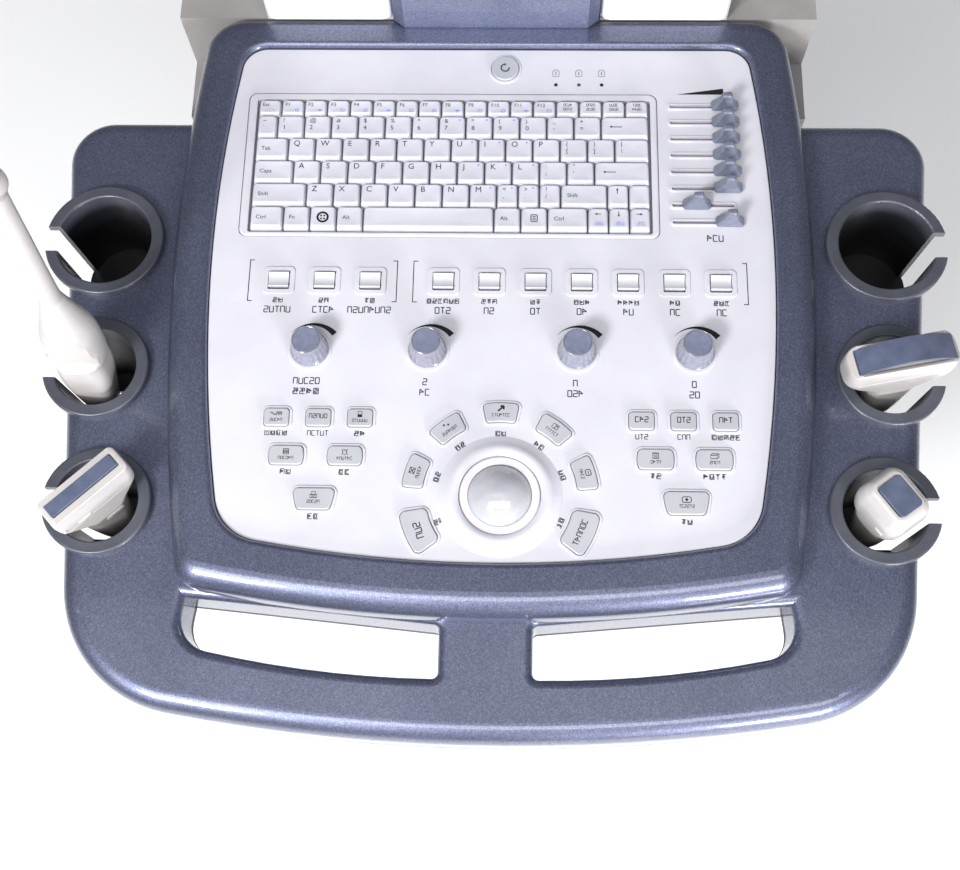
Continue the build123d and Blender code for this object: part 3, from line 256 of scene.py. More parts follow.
def ink(name, low, high):
    """Screen-printed ink, a little uneven."""
    print_ink = Finish(name, Specular_IOR_Level=0.3)
    print_ink.mottle(low, high, 1.2, 3)
    print_ink.rough(0.5, 0.65, 2)
    return print_ink.material


def lamp_lens(name, low, high, glow):
    """The dark lens of a signal lamp; glow is how strongly it is lit."""
    lens = Finish(name, Coat_Weight=0.6, Coat_Roughness=0.05, Emission_Strength=glow)
    tone = lens.ramp(lens.noise(1.5), (0.3, low), (0.7, high))
    lens.set("Base Color", tone)
    lens.set("Emission Color", tone)
    lens.rough(0.1, 0.2, 1)
    return lens.material


PAINT = metallic_paint("metallic_blue_paint", "#51556A", "#656A81", "#81869E")
# painted light: the neck gets a lighter copy of the same blue paint, standing in for light falling on its front
# face
NECK_PAINT_LIT = metallic_paint("metallic_paint_lit_copy", "#6E7590", "#8A91AC", "#AAB1CA")
DARK = moulded("dark_grey_plastic", ("#34363D", "#41434B"), (3, 4), (0.5, 0.66), (9,), (0.7, 3), 0.06,
               Specular_IOR_Level=0.4)
CUP = cup_plastic()
PANEL = white_plastic("panel_white_plastic", "#C6C5CE", "#CDCCD4", 0.46, 0.9, 0.015)
COVER = white_plastic("cover_white_plastic", "#E4E4E8", "#ECECEF", 0.4, 0.9, 0.012)
KEYCAP = white_plastic("keycap_white_plastic", "#C1C1CB", "#CBCBD5", 0.4, 0.5, 0.02, 0.15)
PADDLE = white_plastic("paddle_white_plastic", "#C9CAD0", "#D3D4D9", 0.3, 0.8, 0.01, 0.4)
PUSH_KEY = white_plastic("push_key_grey_plastic", "#A9ABB1", "#B6B7BC", 0.34, 0.8, 0.01, 0.4)
RING = white_plastic("ring_white_plastic", "#D3CFD6", "#DDDADF", 0.34, 0.9, 0.01, 0.3)
PROBE = white_plastic("probe_white_plastic", "#B4B0AE", "#C1BDBB", 0.3, 1.6, 0.012, 0.35)
# painted shade: the rear body is white plastic, given a grey colour that stands in for the shade it sits in
# below the console
HOUSING = white_plastic("rear_body_white_plastic_painted_shade", "#8E8A89", "#9C9897", 0.5, 0.8, 0.04)
BALL = milky_ball()
LENS = moulded("lens_silicone", ("#474F65", "#586078"), (11, 4), (0.4, 0.54), (4, 3), (0.4, 2), 0.015,
               Sheen_Weight=0.12, Specular_IOR_Level=0.45)
SLIDER = tinted_plastic("slider_blue_plastic", "#64697B", "#747A8B", 0.3)
KNOB_CAP = tinted_plastic("knob_cap_blue_plastic", "#6A6F84", "#777C91", 0.4)
KNOB_SKIRT = tinted_plastic("knob_skirt_clear_plastic", "#797B8B", "#8B8C9A", 0.2, 0.3)
STEEL = zinc_steel()
BLACK = moulded("black_plastic", ("#141417", "#222226"), (3, 3), (0.4, 0.55), (4,), (0.5, 2), 0.02,
                Specular_IOR_Level=0.5)
BOARD = printed_board()
BLACK_INK = ink("black_ink", "#101013", "#232327")
GREY_INK = ink("grey_ink", "#3C3D44", "#53545C")
BLUE_INK = ink("blue_ink", "#6B83DA", "#8198E8")
LAMP_OFF = lamp_lens("lamp_off", "#0C0D0C", "#1B1D1B", 0.0)
LAMP_ON = lamp_lens("lamp_on", "#0B3015", "#176B30", 0.3)

NODE_FINISHES = (
    (PAINT, "deck_shell console_bezel"), (NECK_PAINT_LIT, "monitor_neck"), (DARK, "underside_cover"),
    (STEEL, "column_plate screws knob_encoders"), (PANEL, "control_panel keyboard_frame"),
    (RING, "trackball_ring"), (BALL, "trackball"), (BLACK, "trackball_housing paddle_switches slider_pots"),
    (BOARD, "control_board"), (CUP, "rear_cups mid_cups front_cups"), (HOUSING, "rear_housing"),
    (COVER, "neck_covers"), (LENS, "linear_lens convex_lens micro_convex_lens"),
    (PUSH_KEY, "probe_mode_keys report_keys print_key scan_mode_keys store_keys freeze_key arc_keys"
               " set_key cancel_key power_button"),
    (PADDLE, " ".join(f"paddle_{n}" for n in range(1, 11))),
)
KNOBS = ("value_knob", "doppler_knob", "colour_knob", "gain_knob")
SMOOTH_ANGLE = math.radians(32)


def finish_nodes():
    """Every CAD node that stays gets its material and smooth curved faces."""
    for finish, nodes in NODE_FINISHES:
        for node in nodes.split():
            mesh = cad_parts[node].data
            mesh.materials.clear()
            mesh.materials.append(finish)
            mesh.set_sharp_from_angle(angle=SMOOTH_ANGLE)


# -------------------- mesh helpers
def piece(name, mesh, finishes, body, stands_for=(), sharp=SMOOTH_ANGLE):
    """A finished piece from a bmesh in millimetres, riding on a body."""
    data = bpy.data.meshes.new(name)
    bmesh.ops.recalc_face_normals(mesh, faces=mesh.faces)
    mesh.to_mesh(data)
    mesh.free()
    data.transform(Matrix.Scale(MM, 4))
    data.set_sharp_from_angle(angle=sharp)
    for finish in finishes:
        data.materials.append(finish)
    made = bpy.data.objects.new(name, data)
    scene.collection.objects.link(made)
    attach(made, body)
    if stands_for:
        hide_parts(*stands_for)
    return made


def loft(mesh, loops, start=True, end=True, finish=0):
    """Skin through loops of points; start and end say which ends are closed."""
    rings = [[mesh.verts.new(p) for p in loop] for loop in loops]
    count = len(rings[0])
    for low, high in zip(rings, rings[1:]):
        for i in range(count):
            face = mesh.faces.new((low[i], low[(i + 1) % count], high[(i + 1) % count], high[i]))
            face.material_index = finish
    for wanted, ring in ((start, rings[0][::-1]), (end, rings[-1])):
        if wanted:
            mesh.faces.new(ring).material_index = finish


def box_mm(node):
    """Lowest corner, highest corner and centre of a CAD node in millimetres."""
    low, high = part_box(node)
    return low / MM, high / MM, (low + high) / 2 / MM


def solids_of(node):
    """(lowest corner, highest corner) of each separate solid of a CAD node, in millimetres, from the left."""
    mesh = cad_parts[node].data
    grid = [tuple(round(c / MM * 100) for c in v.co) for v in mesh.vertices]
    owner = {}

    def top(key):
        while owner.setdefault(key, key) != key:
            key = owner[key]
        return key

    for polygon in mesh.polygons:
        corners = [top(grid[v]) for v in polygon.vertices]
        for key in corners[1:]:
            owner[top(key)] = top(corners[0])
    groups = {}
    for key in set(grid):
        groups.setdefault(top(key), []).append(key)
    boxes = [[Vector([end(k[i] for k in keys) / 100 for i in range(3)]) for end in (min, max)]
             for keys in groups.values()]
    return sorted(boxes, key=lambda b: b[0].x)


def rounded_box(x0, x1, y0, y1, radius, steps=8):
    """A closed loop of (x, y) points on a rectangle with round corners."""
    radius = min(radius, (x1 - x0) / 2 - 0.01, (y1 - y0) / 2 - 0.01)
    corners = ((x1 - radius, y1 - radius, 0), (x0 + radius, y1 - radius, 90),
               (x0 + radius, y0 + radius, 180), (x1 - radius, y0 + radius, 270))
    loop = []
    for cx, cy, start in corners:
        for i in range(steps + 1):
            angle = math.radians(start + 90 * i / steps)
            loop.append((cx + radius * math.cos(angle), cy + radius * math.sin(angle)))
    return loop


SQUARE = ((-1, -1), (1, -1), (1, 1), (-1, 1))


def scaled(points, wide, tall, x=0.0, y=0.0):
    """Points stretched and moved."""
    return [(x + u * wide, y + v * tall) for u, v in points]


def placed(points, x, y, turn):
    """Points about 0, 0 turned by an angle and moved to x, y."""
    a = math.radians(turn)
    return [(x + u * math.cos(a) - v * math.sin(a), y + u * math.sin(a) + v * math.cos(a)) for u, v in points]


def about(x, y, wide, deep, radius, steps=8):
    """A rectangle with round corners about a middle point; wide and deep are half its sides."""
    return rounded_box(x - wide, x + wide, y - deep, y + deep, radius, steps)


def glide(rows, steps=6):
    """Rows of numbers with smooth rows put in between them."""
    padded = [rows[0], *rows, rows[-1]]
    smooth = []
    for a, b, c, d in zip(padded, padded[1:], padded[2:], padded[3:]):
        for i in range(steps):
            t = i / steps
            smooth.append(tuple(
                0.5 * (2 * q + (r - p) * t + (2 * p - 5 * q + 4 * r - s) * t * t
                       + (3 * q - p - 3 * r + s) * t ** 3)
                for p, q, r, s in zip(a, b, c, d)))
    return smooth + [rows[-1]]


INK = 0.05                 # how thick printed marks are
INK_LIFT = 0.02            # and how far they stand off the surface
INK_EDGE = 0.5             # radians at which a mark's edges stay sharp
CAPITAL_SHARE = 0.72       # height of the font's capitals as a share of its size


def ribbon(mesh, line, width, z=0.0, finish=0, closed=False):
    """A flat strip of ink along (x, y) points; width is one number or one for each point."""
    count = len(line)
    widths = width if isinstance(width, (list, tuple)) else [width] * count
    rails = []
    for i, (x, y) in enumerate(line):
        before = line[(i - 1) % count] if closed or i else line[0]
        after = line[(i + 1) % count] if closed or i < count - 1 else line[-1]
        along = Vector((after[0] - before[0], after[1] - before[1])).normalized() * widths[i] / 2
        rails.append(((x - along.y, y + along.x), (x + along.y, y - along.x)))
    rings = [[mesh.verts.new((*p, h)) for h in (z, z + INK) for p in pair] for pair in rails]
    pairs = list(zip(rings, rings[1:])) + ([(rings[-1], rings[0])] if closed else [])
    for a, b in pairs:
        for i, j in ((0, 1), (1, 3), (3, 2), (2, 0)):
            mesh.faces.new((a[i], a[j], b[j], b[i])).material_index = finish
    if not closed:
        for ring in (rings[0], rings[-1]):
            mesh.faces.new((ring[0], ring[1], ring[3], ring[2])).material_index = finish


def arc(x, y, radius, start, end, steps=24):
    """(x, y) points along an arc; the angles are in degrees."""
    angles = [math.radians(start + (end - start) * i / steps) for i in range(steps + 1)]
    return [(x + radius * math.cos(a), y + radius * math.sin(a)) for a in angles]


def slab(mesh, outline, z=0.0, finish=0):
    """A flat patch of ink inside an outline."""
    loft(mesh, [[(*p, h) for p in outline] for h in (z, z + INK)], finish=finish)


def dot(mesh, x, y, radius, z=0.0, finish=0):
    """A round spot of ink."""
    slab(mesh, arc(x, y, radius, 0, 345, 23), z, finish)


def printed(name, mesh, body, *inks):
    """A piece made of ink marks."""
    piece(name, mesh, inks, body, (), INK_EDGE)


def write(mesh, words, x, y, tall, finish=0):
    """Generic key lettering; x, y is its top left corner and tall the height of its capitals."""
    curve = bpy.data.curves.new("lettering", "FONT")
    curve.body = words
    curve.size = tall / CAPITAL_SHARE
    curve.align_y = "TOP_BASELINE"
    curve.extrude = INK / 2
    curve.resolution_u = 3
    source = bpy.data.objects.new("lettering", curve)
    scene.collection.objects.link(source)
    bpy.context.view_layer.update()
    flat = bpy.data.meshes.new_from_object(source.evaluated_get(bpy.context.evaluated_depsgraph_get()))
    flat.transform(Matrix.Translation((x, y - tall, INK / 2)))
    first = len(mesh.faces)
    mesh.from_mesh(flat)
    mesh.faces.ensure_lookup_table()
    for face in mesh.faces[first:]:
        face.material_index = finish
    bpy.data.objects.remove(source)
    bpy.data.curves.remove(curve)
    bpy.data.meshes.remove(flat)


# -------------------- keyboard
CAP_SHOULDER = 1.35        # how far a keycap's sides lean in
CAP_FRONT = 2.6            # how far its front leans in
CAP_REAR = 0.8
CAP_DISH = 0.38
CAP_RIM = 0.8              # width of the rounded rim round the dish
CAP_RIM_DROP = 0.06
LEGEND_IN = 3.7            # from a cap's left edge to its lettering
UPPER_DROP, LOWER_DROP = 2.0, 7.6    # from its rear edge to its upper and lower lettering
TOP_ROW = ["Esc"] + [f"F{n}" for n in range(1, 13)]
DIGIT_ROW = "~` !1 @2 #3 $4 %5 ^6 &7 *8 (9 )0 _- +=".split()
LETTER_ROWS = {2: "QWERTYUIOP", 3: "ASDFGHJKL", 4: "ZXCVBNM"}
PAIR_ROWS = {2: ("{[", "}]", "|\\"), 3: (":;", "\"'"), 4: ("<,", ">.", "?/")}
WIDE_KEYS = {"Tab": (2, 0), "Caps": (3, 0), "Shift": (4, 0), "Ctrl": (5, 0), "Fn": (5, 1), "Alt": (5, 3),
             "Alt ": (5, 5), "Ctrl ": (5, 7), "Shift ": (4, 11)}
WIDE_CAP = 20              # caps wider than this carry a long arrow
ARROW_KEYS = {(1, 13): 180, (3, 12): 180, (4, 12): 90, (5, 8): 180, (5, 9): 270, (5, 10): 0}


def keycap_rows():
    """The keycaps' boxes in rows from the back, each row from left to right."""
    boxes = sorted(solids_of("keyboard_keys"), key=lambda b: -(b[0].y + b[1].y))
    rows = [[boxes[0]]]
    for cap in boxes[1:]:
        if rows[-1][-1][0].y + rows[-1][-1][1].y - cap[0].y - cap[1].y > 4:
            rows.append([])
        rows[-1].append(cap)
    return [sorted(row, key=lambda b: b[0].x) for row in rows]


def keycap(mesh, low, high):
    """One dished keycap with a broad bevel at the front."""
    top, front = high.z, min(CAP_FRONT, (high.y - low.y) * 0.16)
    rings = [(0, 0, 0, low.z, 1.2), (0.25, 0.3, 0.2, top - 2.6, 1.3), (0.7, 0.9, 0.4, top - 1.1, 1.5),
             (CAP_SHOULDER - 0.25, front - 0.5, CAP_REAR - 0.15, top - 0.32, 1.7),
             (CAP_SHOULDER, front, CAP_REAR, top - 0.08, 1.9),
             (CAP_SHOULDER + 0.35, front + 0.4, CAP_REAR + 0.3, top, 2.0),
             (CAP_SHOULDER + CAP_RIM, front + 0.9, CAP_REAR + 0.75, top - CAP_RIM_DROP, 2.0)]
    loops = [[(*p, z) for p in rounded_box(low.x + side, high.x - side, low.y + near, high.y - far, r, 4)]
             for side, near, far, z, r in rings]
    inner = loops[-1]
    middle = Vector([sum(p[i] for p in inner) / len(inner) for i in (0, 1)])
    for share in (0.8, 0.55, 0.3, 0.06):
        z = top - CAP_RIM_DROP - CAP_DISH * (1 - share ** 2)
        loops.append([(middle.x + (x - middle.x) * share, middle.y + (y - middle.y) * share, z)
                      for x, y, _ in inner])
    loft(mesh, loops)


def dish_height(low, high, x, y):
    """Height of a keycap's dished top at x, y."""
    front = min(CAP_FRONT, (high.y - low.y) * 0.16)
    left, right = low.x + CAP_SHOULDER + CAP_RIM, high.x - CAP_SHOULDER - CAP_RIM
    near, far = low.y + front + 0.9, high.y - CAP_REAR - 0.75
    share = max(abs(2 * x - left - right) / (right - left), abs(2 * y - near - far) / (far - near))
    return high.z - CAP_RIM_DROP - CAP_DISH * (1 - min(share, 1) ** 2)


def arrow(mesh, x, y, length, turn, finish=0, width=0.5, head=1.5, z=0.0):
    """A thin arrow whose tip points along turn."""
    a = math.radians(turn)
    ahead, aside = Vector((math.cos(a), math.sin(a))), Vector((-math.sin(a), math.cos(a)))
    tip, tail = Vector((x, y)) + ahead * length / 2, Vector((x, y)) - ahead * length / 2
    neck = tip - ahead * head * 1.2
    ribbon(mesh, [tail, neck], width, z, finish)
    slab(mesh, (tip, neck + aside * head * 0.6, neck - aside * head * 0.6), z, finish)


def function_row_marks(mesh, row):
    """Names of the function keys, with a small blue mark at the right of most of them."""
    for (low, high), word in zip(row, TOP_ROW):
        write(mesh, word, low.x + 2.6, high.y - 2.2, 2.8)
    for place, (low, high) in enumerate(row[1:13], 1):
        x, y = high.x - 4.6, low.y + 4.0
        if place % 3 == 0:
            ribbon(mesh, scaled(SQUARE, 1.3, 1.0, x, y), 0.55, finish=1, closed=True)
        elif place % 3 == 1:
            ribbon(mesh, arc(x, y, 1.2, 0, 345, 15), 0.55, finish=1, closed=True)
        else:
            dot(mesh, x, y, 0.9, finish=1)
            ribbon(mesh, [(x - 2.0, y), (x + 2.0, y)], 0.5, finish=1)
    for low, high in row[13:]:
        for drop in (3.2, 6.6):
            greek(mesh, (low.x + high.x) / 2, high.y - drop, 4, 1.9)


def pair_legend(mesh, cap, words, tall):
    """An upper and a lower character; tall is the lower one's height."""
    low, high = cap
    write(mesh, words[0], low.x + LEGEND_IN, high.y - UPPER_DROP, 3.3)
    write(mesh, words[1], low.x + LEGEND_IN, high.y - LOWER_DROP, tall)


def key_legends(mesh, rows):
    """Black letters and symbols at the left of each cap, with a few small blue marks."""
    function_row_marks(mesh, rows[0])
    for cap, words in zip(rows[1], DIGIT_ROW):
        pair_legend(mesh, cap, words, 3.5)
    for number, letters in LETTER_ROWS.items():
        row = rows[number]
        for (low, high), letter in zip(row[1:], letters):
            write(mesh, letter, low.x + LEGEND_IN, high.y - UPPER_DROP, 4.3)
        for cap, words in zip(row[1 + len(letters):], PAIR_ROWS[number]):
            pair_legend(mesh, cap, words, 3.3)
    for number in (1, 2, 3, 4):
        for low, high in rows[number][7:10]:
            dot(mesh, high.x - 4.0, high.y - 3.0, 0.7, finish=1)
    for word, (row, place) in WIDE_KEYS.items():
        low, high = rows[row][place]
        write(mesh, word.strip(), low.x + 4, (low.y + high.y) / 2 + 2.0, 3.1)
    for (row, place), turn in ARROW_KEYS.items():
        low, high = rows[row][place]
        across, down, length = (10, 8.0, 9) if high.x - low.x > WIDE_CAP else (6.5, 4.6, 4.4)
        arrow(mesh, low.x + across, high.y - down, length, turn)
    for place in (8, 9, 10):
        low, high = rows[5][place]
        greek(mesh, (low.x + high.x) / 2 + 0.6, low.y + 5.6, 3, 2.2, finish=1)
    low, high = rows[5][2]
    x, y = (low.x + high.x) / 2, (low.y + high.y) / 2 + 0.4
    ribbon(mesh, arc(x, y, 3.6, 0, 345, 23), 1.5, closed=True)
    for corner in scaled(SQUARE, 1.1, 1.1, x, y):
        dot(mesh, *corner, 0.7)
    low, high = rows[5][6]
    x, y = (low.x + high.x) / 2, (low.y + high.y) / 2 + 0.6
    ribbon(mesh, about(x, y, 2.2, 2.6, 0.4, 1), 0.6, closed=True)
    for step in (-1, 0, 1):
        ribbon(mesh, [(x - 1.2, y + 1.3 * step), (x + 1.2, y + 1.3 * step)], 0.5)
    caps = sum(rows, [])
    for vertex in mesh.verts:
        x, y = vertex.co.x, vertex.co.y
        low, high = min(caps, key=lambda c: max(c[0].x - x, x - c[1].x, 0) + max(c[0].y - y, y - c[1].y, 0))
        vertex.co.z += dish_height(low, high, x, y) + 2 * INK_LIFT


def add_keyboard():
    """Dished caps on the keyboard's body, and their lettering."""
    rows = keycap_rows()
    caps = bmesh.new()
    for cap in sum(rows, []):
        keycap(caps, *cap)
    piece("keycaps", caps, [KEYCAP], "keyboard_keys", ["keyboard_keys"], math.radians(50))
    legends = bmesh.new()
    key_legends(legends, rows)
    printed("keycap_lettering", legends, "keyboard_keys", BLACK_INK, BLUE_INK)


# -------------------- knobs and depth sliders
KNOB_FLUTES = 20
FLUTE_STEPS = 8            # points round each flute
FLUTE_ROUND = 0.7
KNOB_SHAFT = 3.0           # radius of the shaft under the skirt
KNOB_TALL = 16.9
CAP_INSET = 3.95           # from the skirt's widest radius in to the cap
# The skirt's outline: how far below the top, how far in from the widest radius, and the flutes' depth.
SKIRT_PROFILE = ((16.6, 0.7, 0), (16.3, 0, 0), (15.2, 0, 0.05), (14.2, 0.5, 0.5), (12, 1.1, 0.55),
                 (8, 1.7, 0.5), (4, 2.3, 0.35), (1.8, 2.7, 0.1), (0.9, 2.85, 0), (0.25, 3.1, 0),
                 (0, 3.5, 0), (0.2, 3.8, 0), (1.0, 3.9, 0))
GRIP_TALL = 15.6           # a slider's grip: its height, half its neck's width and its corner radius
GRIP_NECK = 3.6
GRIP_ROUND = 2.6
GRIP_FOOT = 1.6            # height of the straight band at its foot
GRIP_RISE = 12.4           # height of its bell
GRIP_TAPER = 1.9           # how far its front and back lean in


def add_knobs():
    """Clear fluted skirts with a matt cap let into the top."""
    for name in KNOBS:
        low, high, centre = box_mm(name)
        wide = (high.x - low.x) / 2
        skirt = bmesh.new()
        profile = [(low.z, KNOB_SHAFT, 0), (high.z - KNOB_TALL, KNOB_SHAFT, 0)]
        profile += [(high.z - drop, wide - inset, flute) for drop, inset, flute in SKIRT_PROFILE]
        count = KNOB_FLUTES * FLUTE_STEPS
        loops = [[] for _ in profile]
        for loop, (z, radius, flute) in zip(loops, profile):
            for a in (2 * math.pi * i / count for i in range(count)):
                r = radius - flute * abs(math.sin(a * KNOB_FLUTES / 2)) ** FLUTE_ROUND
                loop.append((centre.x + r * math.cos(a), centre.y + r * math.sin(a), z))
        loft(skirt, loops)
        piece(f"{name}_skirt", skirt, [KNOB_SKIRT], name, [name])
        cap = bmesh.new()
        edge = wide - CAP_INSET
        rim = [(1.0, edge), (0.3, edge), (0.05, edge - 0.25), (0.1, edge - 1.2), (0.35, edge * 0.6),
               (0.45, edge * 0.2)]
        loft(cap, [[(*p, high.z - drop) for p in arc(centre.x, centre.y, r, 0, 354, 59)]
                   for drop, r in rim])
        piece(f"{name}_cap", cap, [KNOB_CAP], name)


def add_sliders():
    """Bell-shaped grips, pinched front and back, on their flat levers."""
    for number in range(1, 9):
        node = f"depth_slider_{number}"
        low, high, centre = box_mm(node)
        foot_w, foot_d = (high.x - low.x) / 2, (high.y - low.y) / 2
        foot_z = high.z - GRIP_TALL
        rows = [(foot_z, foot_w - 0.5, foot_d - 0.4), (foot_z + 0.5, foot_w, foot_d),
                (foot_z + GRIP_FOOT, foot_w, foot_d)]
        for i in range(1, 13):
            t = i / 12
            rows.append((foot_z + GRIP_FOOT + GRIP_RISE * t,
                         GRIP_NECK + (foot_w - GRIP_NECK) * (1 - t) ** 1.9,
                         foot_d - GRIP_TAPER * t ** 0.8 - 0.5 * math.sin(math.pi * t)))
        for i in range(1, 6):
            t = math.radians(18 * i)
            rows.append((foot_z + GRIP_FOOT + GRIP_RISE + 1.6 * math.sin(t),
                         GRIP_NECK - 1.9 * (1 - math.cos(t)),
                         foot_d - GRIP_TAPER - 1.4 * (1 - math.cos(t))))
        grip = bmesh.new()
        loft(grip, [[(*p, z) for p in about(centre.x, centre.y, w, d, min(GRIP_ROUND, w * 0.6, d * 0.6))]
                    for z, w, d in rows])
        piece(f"{node}_grip", grip, [SLIDER], node, [node], math.radians(50))
        lever = bmesh.new()
        ends = ((low.z, 2.1, 0.4), (low.z + 0.4, 2.5, 0.6), (foot_z + 1, 2.5, 0.6))
        loft(lever, [[(*p, z) for p in about(centre.x, centre.y, w, d, 0.3, 3)] for z, w, d in ends])
        piece(f"{node}_lever", lever, [BLACK], node)


# -------------------- probes
CUP_PLACES = {"linear_probe": ("front_cups", -1, 43.6), "convex_probe": ("mid_cups", 1, 11.5),
              "micro_convex_probe": ("front_cups", 1, -54.0)}
CONVEX_R = 62.0
# Raised marks as (place, size): a bar and a thumb rest in front, and a nub at one end.
PROBE_MARKS = {"linear_probe": (((-12, -12.9, 116.5), (10, 0.9, 1.1)), ((-27, -11.6, 118.5), (2.6, 2.4, 2.2)),
                                ((4, -11.9, 88), (15, 1.2, 6.5))),
               "micro_convex_probe": (((9, -17.2, 108), (7, 0.8, 1.2)),)}


def cup_centre(node, side):
    """The middle of the left (-1) or right (1) cup of a pair."""
    low, high, centre = box_mm(node)
    rim_r = (high.y - low.y) / 2
    return side * (high.x - rim_r), centre.y


def in_cup(points, node, side, turn):
    """Points about a cup's axis turned into the frame's axes."""
    flat = placed([p[:2] for p in points], *cup_centre(node, side), turn)
    return [(*p, point[2]) for p, point in zip(flat, points)]


def sink(x):
    """How far a convex head's crown has dropped at x from its middle."""
    return CONVEX_R - math.sqrt(max(CONVEX_R ** 2 - x * x, 0))


def probe_body(name, sections, lens, top):
    """A smooth probe through (height, width, depth, corner radius, crown) rows, with a lens seat on top."""
    node, side, turn = CUP_PLACES[name]
    rows = glide(sections)
    width, depth, radius, crown = lens
    rows += [(top, width, depth, radius, crown), (top - 1.9, width, depth, radius, crown)]
    loops = []
    for height, wide, deep, corner, crowned in rows:
        loop = about(0, 0, wide / 2, deep / 2, corner)
        loops.append(in_cup([(x, y, height - crowned * sink(x)) for x, y in loop], node, side, turn))
    mesh = bmesh.new()
    loft(mesh, loops, end=crown == 0)
    if crown:
        last = list(mesh.verts)[-len(loops[-1]):]
        half = len(last) // 2
        quarter = half // 2
        order = last[-quarter:] + last[:-quarter]
        for i in range(half - 1):
            mesh.faces.new((order[i], order[i + 1], order[-i - 2], order[-i - 1]))
    piece(f"{name}_body", mesh, [PROBE], name, [name], math.radians(38))


GLAND = [(4, 9, 9, 4.4, 0), (10, 10, 10, 4.9, 0), (20, 12.4, 12.4, 6.1, 0), (26, 15, 14.6, 7, 0)]


def add_probes():
    """The four probes standing in their cups."""
    probe_body("linear_probe", GLAND + [
        (32, 20, 17.6, 7.6, 0), (50, 27, 22, 9.6, 0), (75, 33, 24, 10, 0), (92, 37, 24.6, 10, 0),
        (100, 45, 25, 9, 0), (107, 55, 25.4, 8, 0), (112, 60.4, 25.8, 7, 0), (113.2, 60.8, 25.8, 7, 0),
        (113.6, 60.2, 25.2, 6.8, 0), (114, 60.9, 25.8, 7, 0), (120, 62, 25.2, 6.4, 0), (126, 61.2, 21.8, 5, 0),
        (128.3, 60.6, 20.4, 4.2, 0), (129, 59.2, 19.2, 3.6, 0)], (52.9, 10.4, 0.8, 0), 129)
    probe_body("convex_probe", GLAND + [
        (32, 20, 17.6, 7.6, 0), (50, 28, 23, 9.6, 0), (75, 34, 24.6, 10.4, 0), (94, 40, 25.4, 11, 0),
        (103, 54, 25.8, 11, 0.1), (111, 69, 26.2, 11, 0.3), (118, 75, 26.6, 11, 0.6), (125, 76, 26.6, 10, 0.85),
        (126, 75.4, 26.0, 10, 0.87), (127, 76, 26.4, 10, 0.9), (133, 75.6, 25.4, 9, 1), (137, 74.6, 24, 8, 1),
        (138.6, 73.4, 22.8, 7, 1), (139, 71.8, 21.4, 6, 1)], (65.4, 18.0, 1.2, 1), 139)
    probe_body("micro_convex_probe", GLAND + [
        (32, 19, 17.6, 7.6, 0), (50, 25, 22, 9, 0), (75, 29, 25, 9, 0), (94, 32, 27, 9, 0),
        (97, 34, 29.4, 9, 0),
        (99, 36.6, 31.8, 9, 0), (99.6, 37.4, 32.6, 9, 0), (100, 37, 32.2, 9, 0), (100.6, 37.8, 33, 9, 0),
        (108, 39.6, 34.6, 9, 0), (116, 39.8, 34.4, 8.6, 0), (123, 37, 31, 8, 0), (127.6, 32.4, 25.8, 6.4, 0),
        (129.2, 29.4, 22.6, 5, 0), (129.5, 28, 21.2, 4.4, 0)], (24.8, 18.0, 3.2, 0), 129.5)
    add_endocavity_probe()
    add_probe_marks()


ENDO_LEAN = 9.5
ENDO_FORWARD, ENDO_OUTWARD = 4.0, 4.1       # where the long probe crosses the rim, from the cup's middle
PAD_LOW, PAD_HIGH = 24, 78                  # the thumb pad's ends, measured along the probe
PAD_LOW_RUN, PAD_HIGH_RUN = 5, 12           # lengths over which it fades in and out
PAD_FRONT = -12.8                           # its surface at PAD_MIDDLE, and its slope along the probe
PAD_MIDDLE = 40
PAD_SLOPE = 0.11


def add_endocavity_probe():
    """The long probe leans back in its cup; a flat thumb pad is cut across its bulb."""
    rows = glide([(-61, 8.4, 8.4, 4.1), (-57, 10.5, 10.5, 5.2), (-54, 14.5, 14.5, 6.2), (-36, 21.6, 20.6, 7),
                  (0, 32, 30, 8.6), (20, 33, 31, 9), (22.5, 33.4, 31.6, 10), (24, 35.6, 34.4, 14),
                  (26, 37, 36, 16), (34, 38, 37, 17), (52, 37, 36, 17.6), (70, 26.5, 26.5, 13),
                  (86, 17, 17, 8.4),
                  (96, 14.2, 14.2, 7), (150, 14, 14, 7), (188, 14, 14, 7), (194, 16, 16, 8),
                  (200, 20.6, 20.6, 10.2), (206, 19.4, 19.4, 9.6), (211, 13.4, 13.4, 6.6), (213.6, 5, 5, 2.4)],
                 8)
    x, y = cup_centre("mid_cups", -1)
    rim_z = box_mm("mid_cups")[1].z
    lean = math.radians(ENDO_LEAN)
    loops = []
    for height, wide, deep, corner in rows:
        loop = []
        pad = PAD_FRONT - PAD_SLOPE * (height - PAD_MIDDLE)
        soft = min(max((height - PAD_LOW) / PAD_LOW_RUN, 0), 1)
        soft *= min(max((PAD_HIGH - height) / PAD_HIGH_RUN, 0), 1)
        for px, py in about(0, 0, wide / 2, deep / 2, corner):
            py += max(pad - py, 0) * soft
            loop.append((x - ENDO_OUTWARD + px,
                         y - ENDO_FORWARD + py * math.cos(lean) + height * math.sin(lean),
                         rim_z - py * math.sin(lean) + height * math.cos(lean)))
        loops.append(loop)
    mesh = bmesh.new()
    loft(mesh, loops)
    piece("endocavity_probe_body", mesh, [PROBE], "endocavity_probe", ["endocavity_probe"],
          math.radians(30))


def raised(mesh, name, place, size):
    """A small soft-edged bar on a probe's side; place and size are x, y, z in the probe's own axes."""
    node, side, turn = CUP_PLACES[name]
    (x, y, z), (wide, proud, tall) = place, size
    loops = []
    for share, lift in ((1.0, -0.6), (1.0, 0.5), (0.86, 0.85), (0.5, 1.0)):
        outline = about(0, 0, wide / 2 * share, tall / 2 * share, tall * 0.45, 4)
        loops.append(in_cup([(x + u, y - proud * lift, z + v) for u, v in outline], node, side, turn))
    loft(mesh, loops)


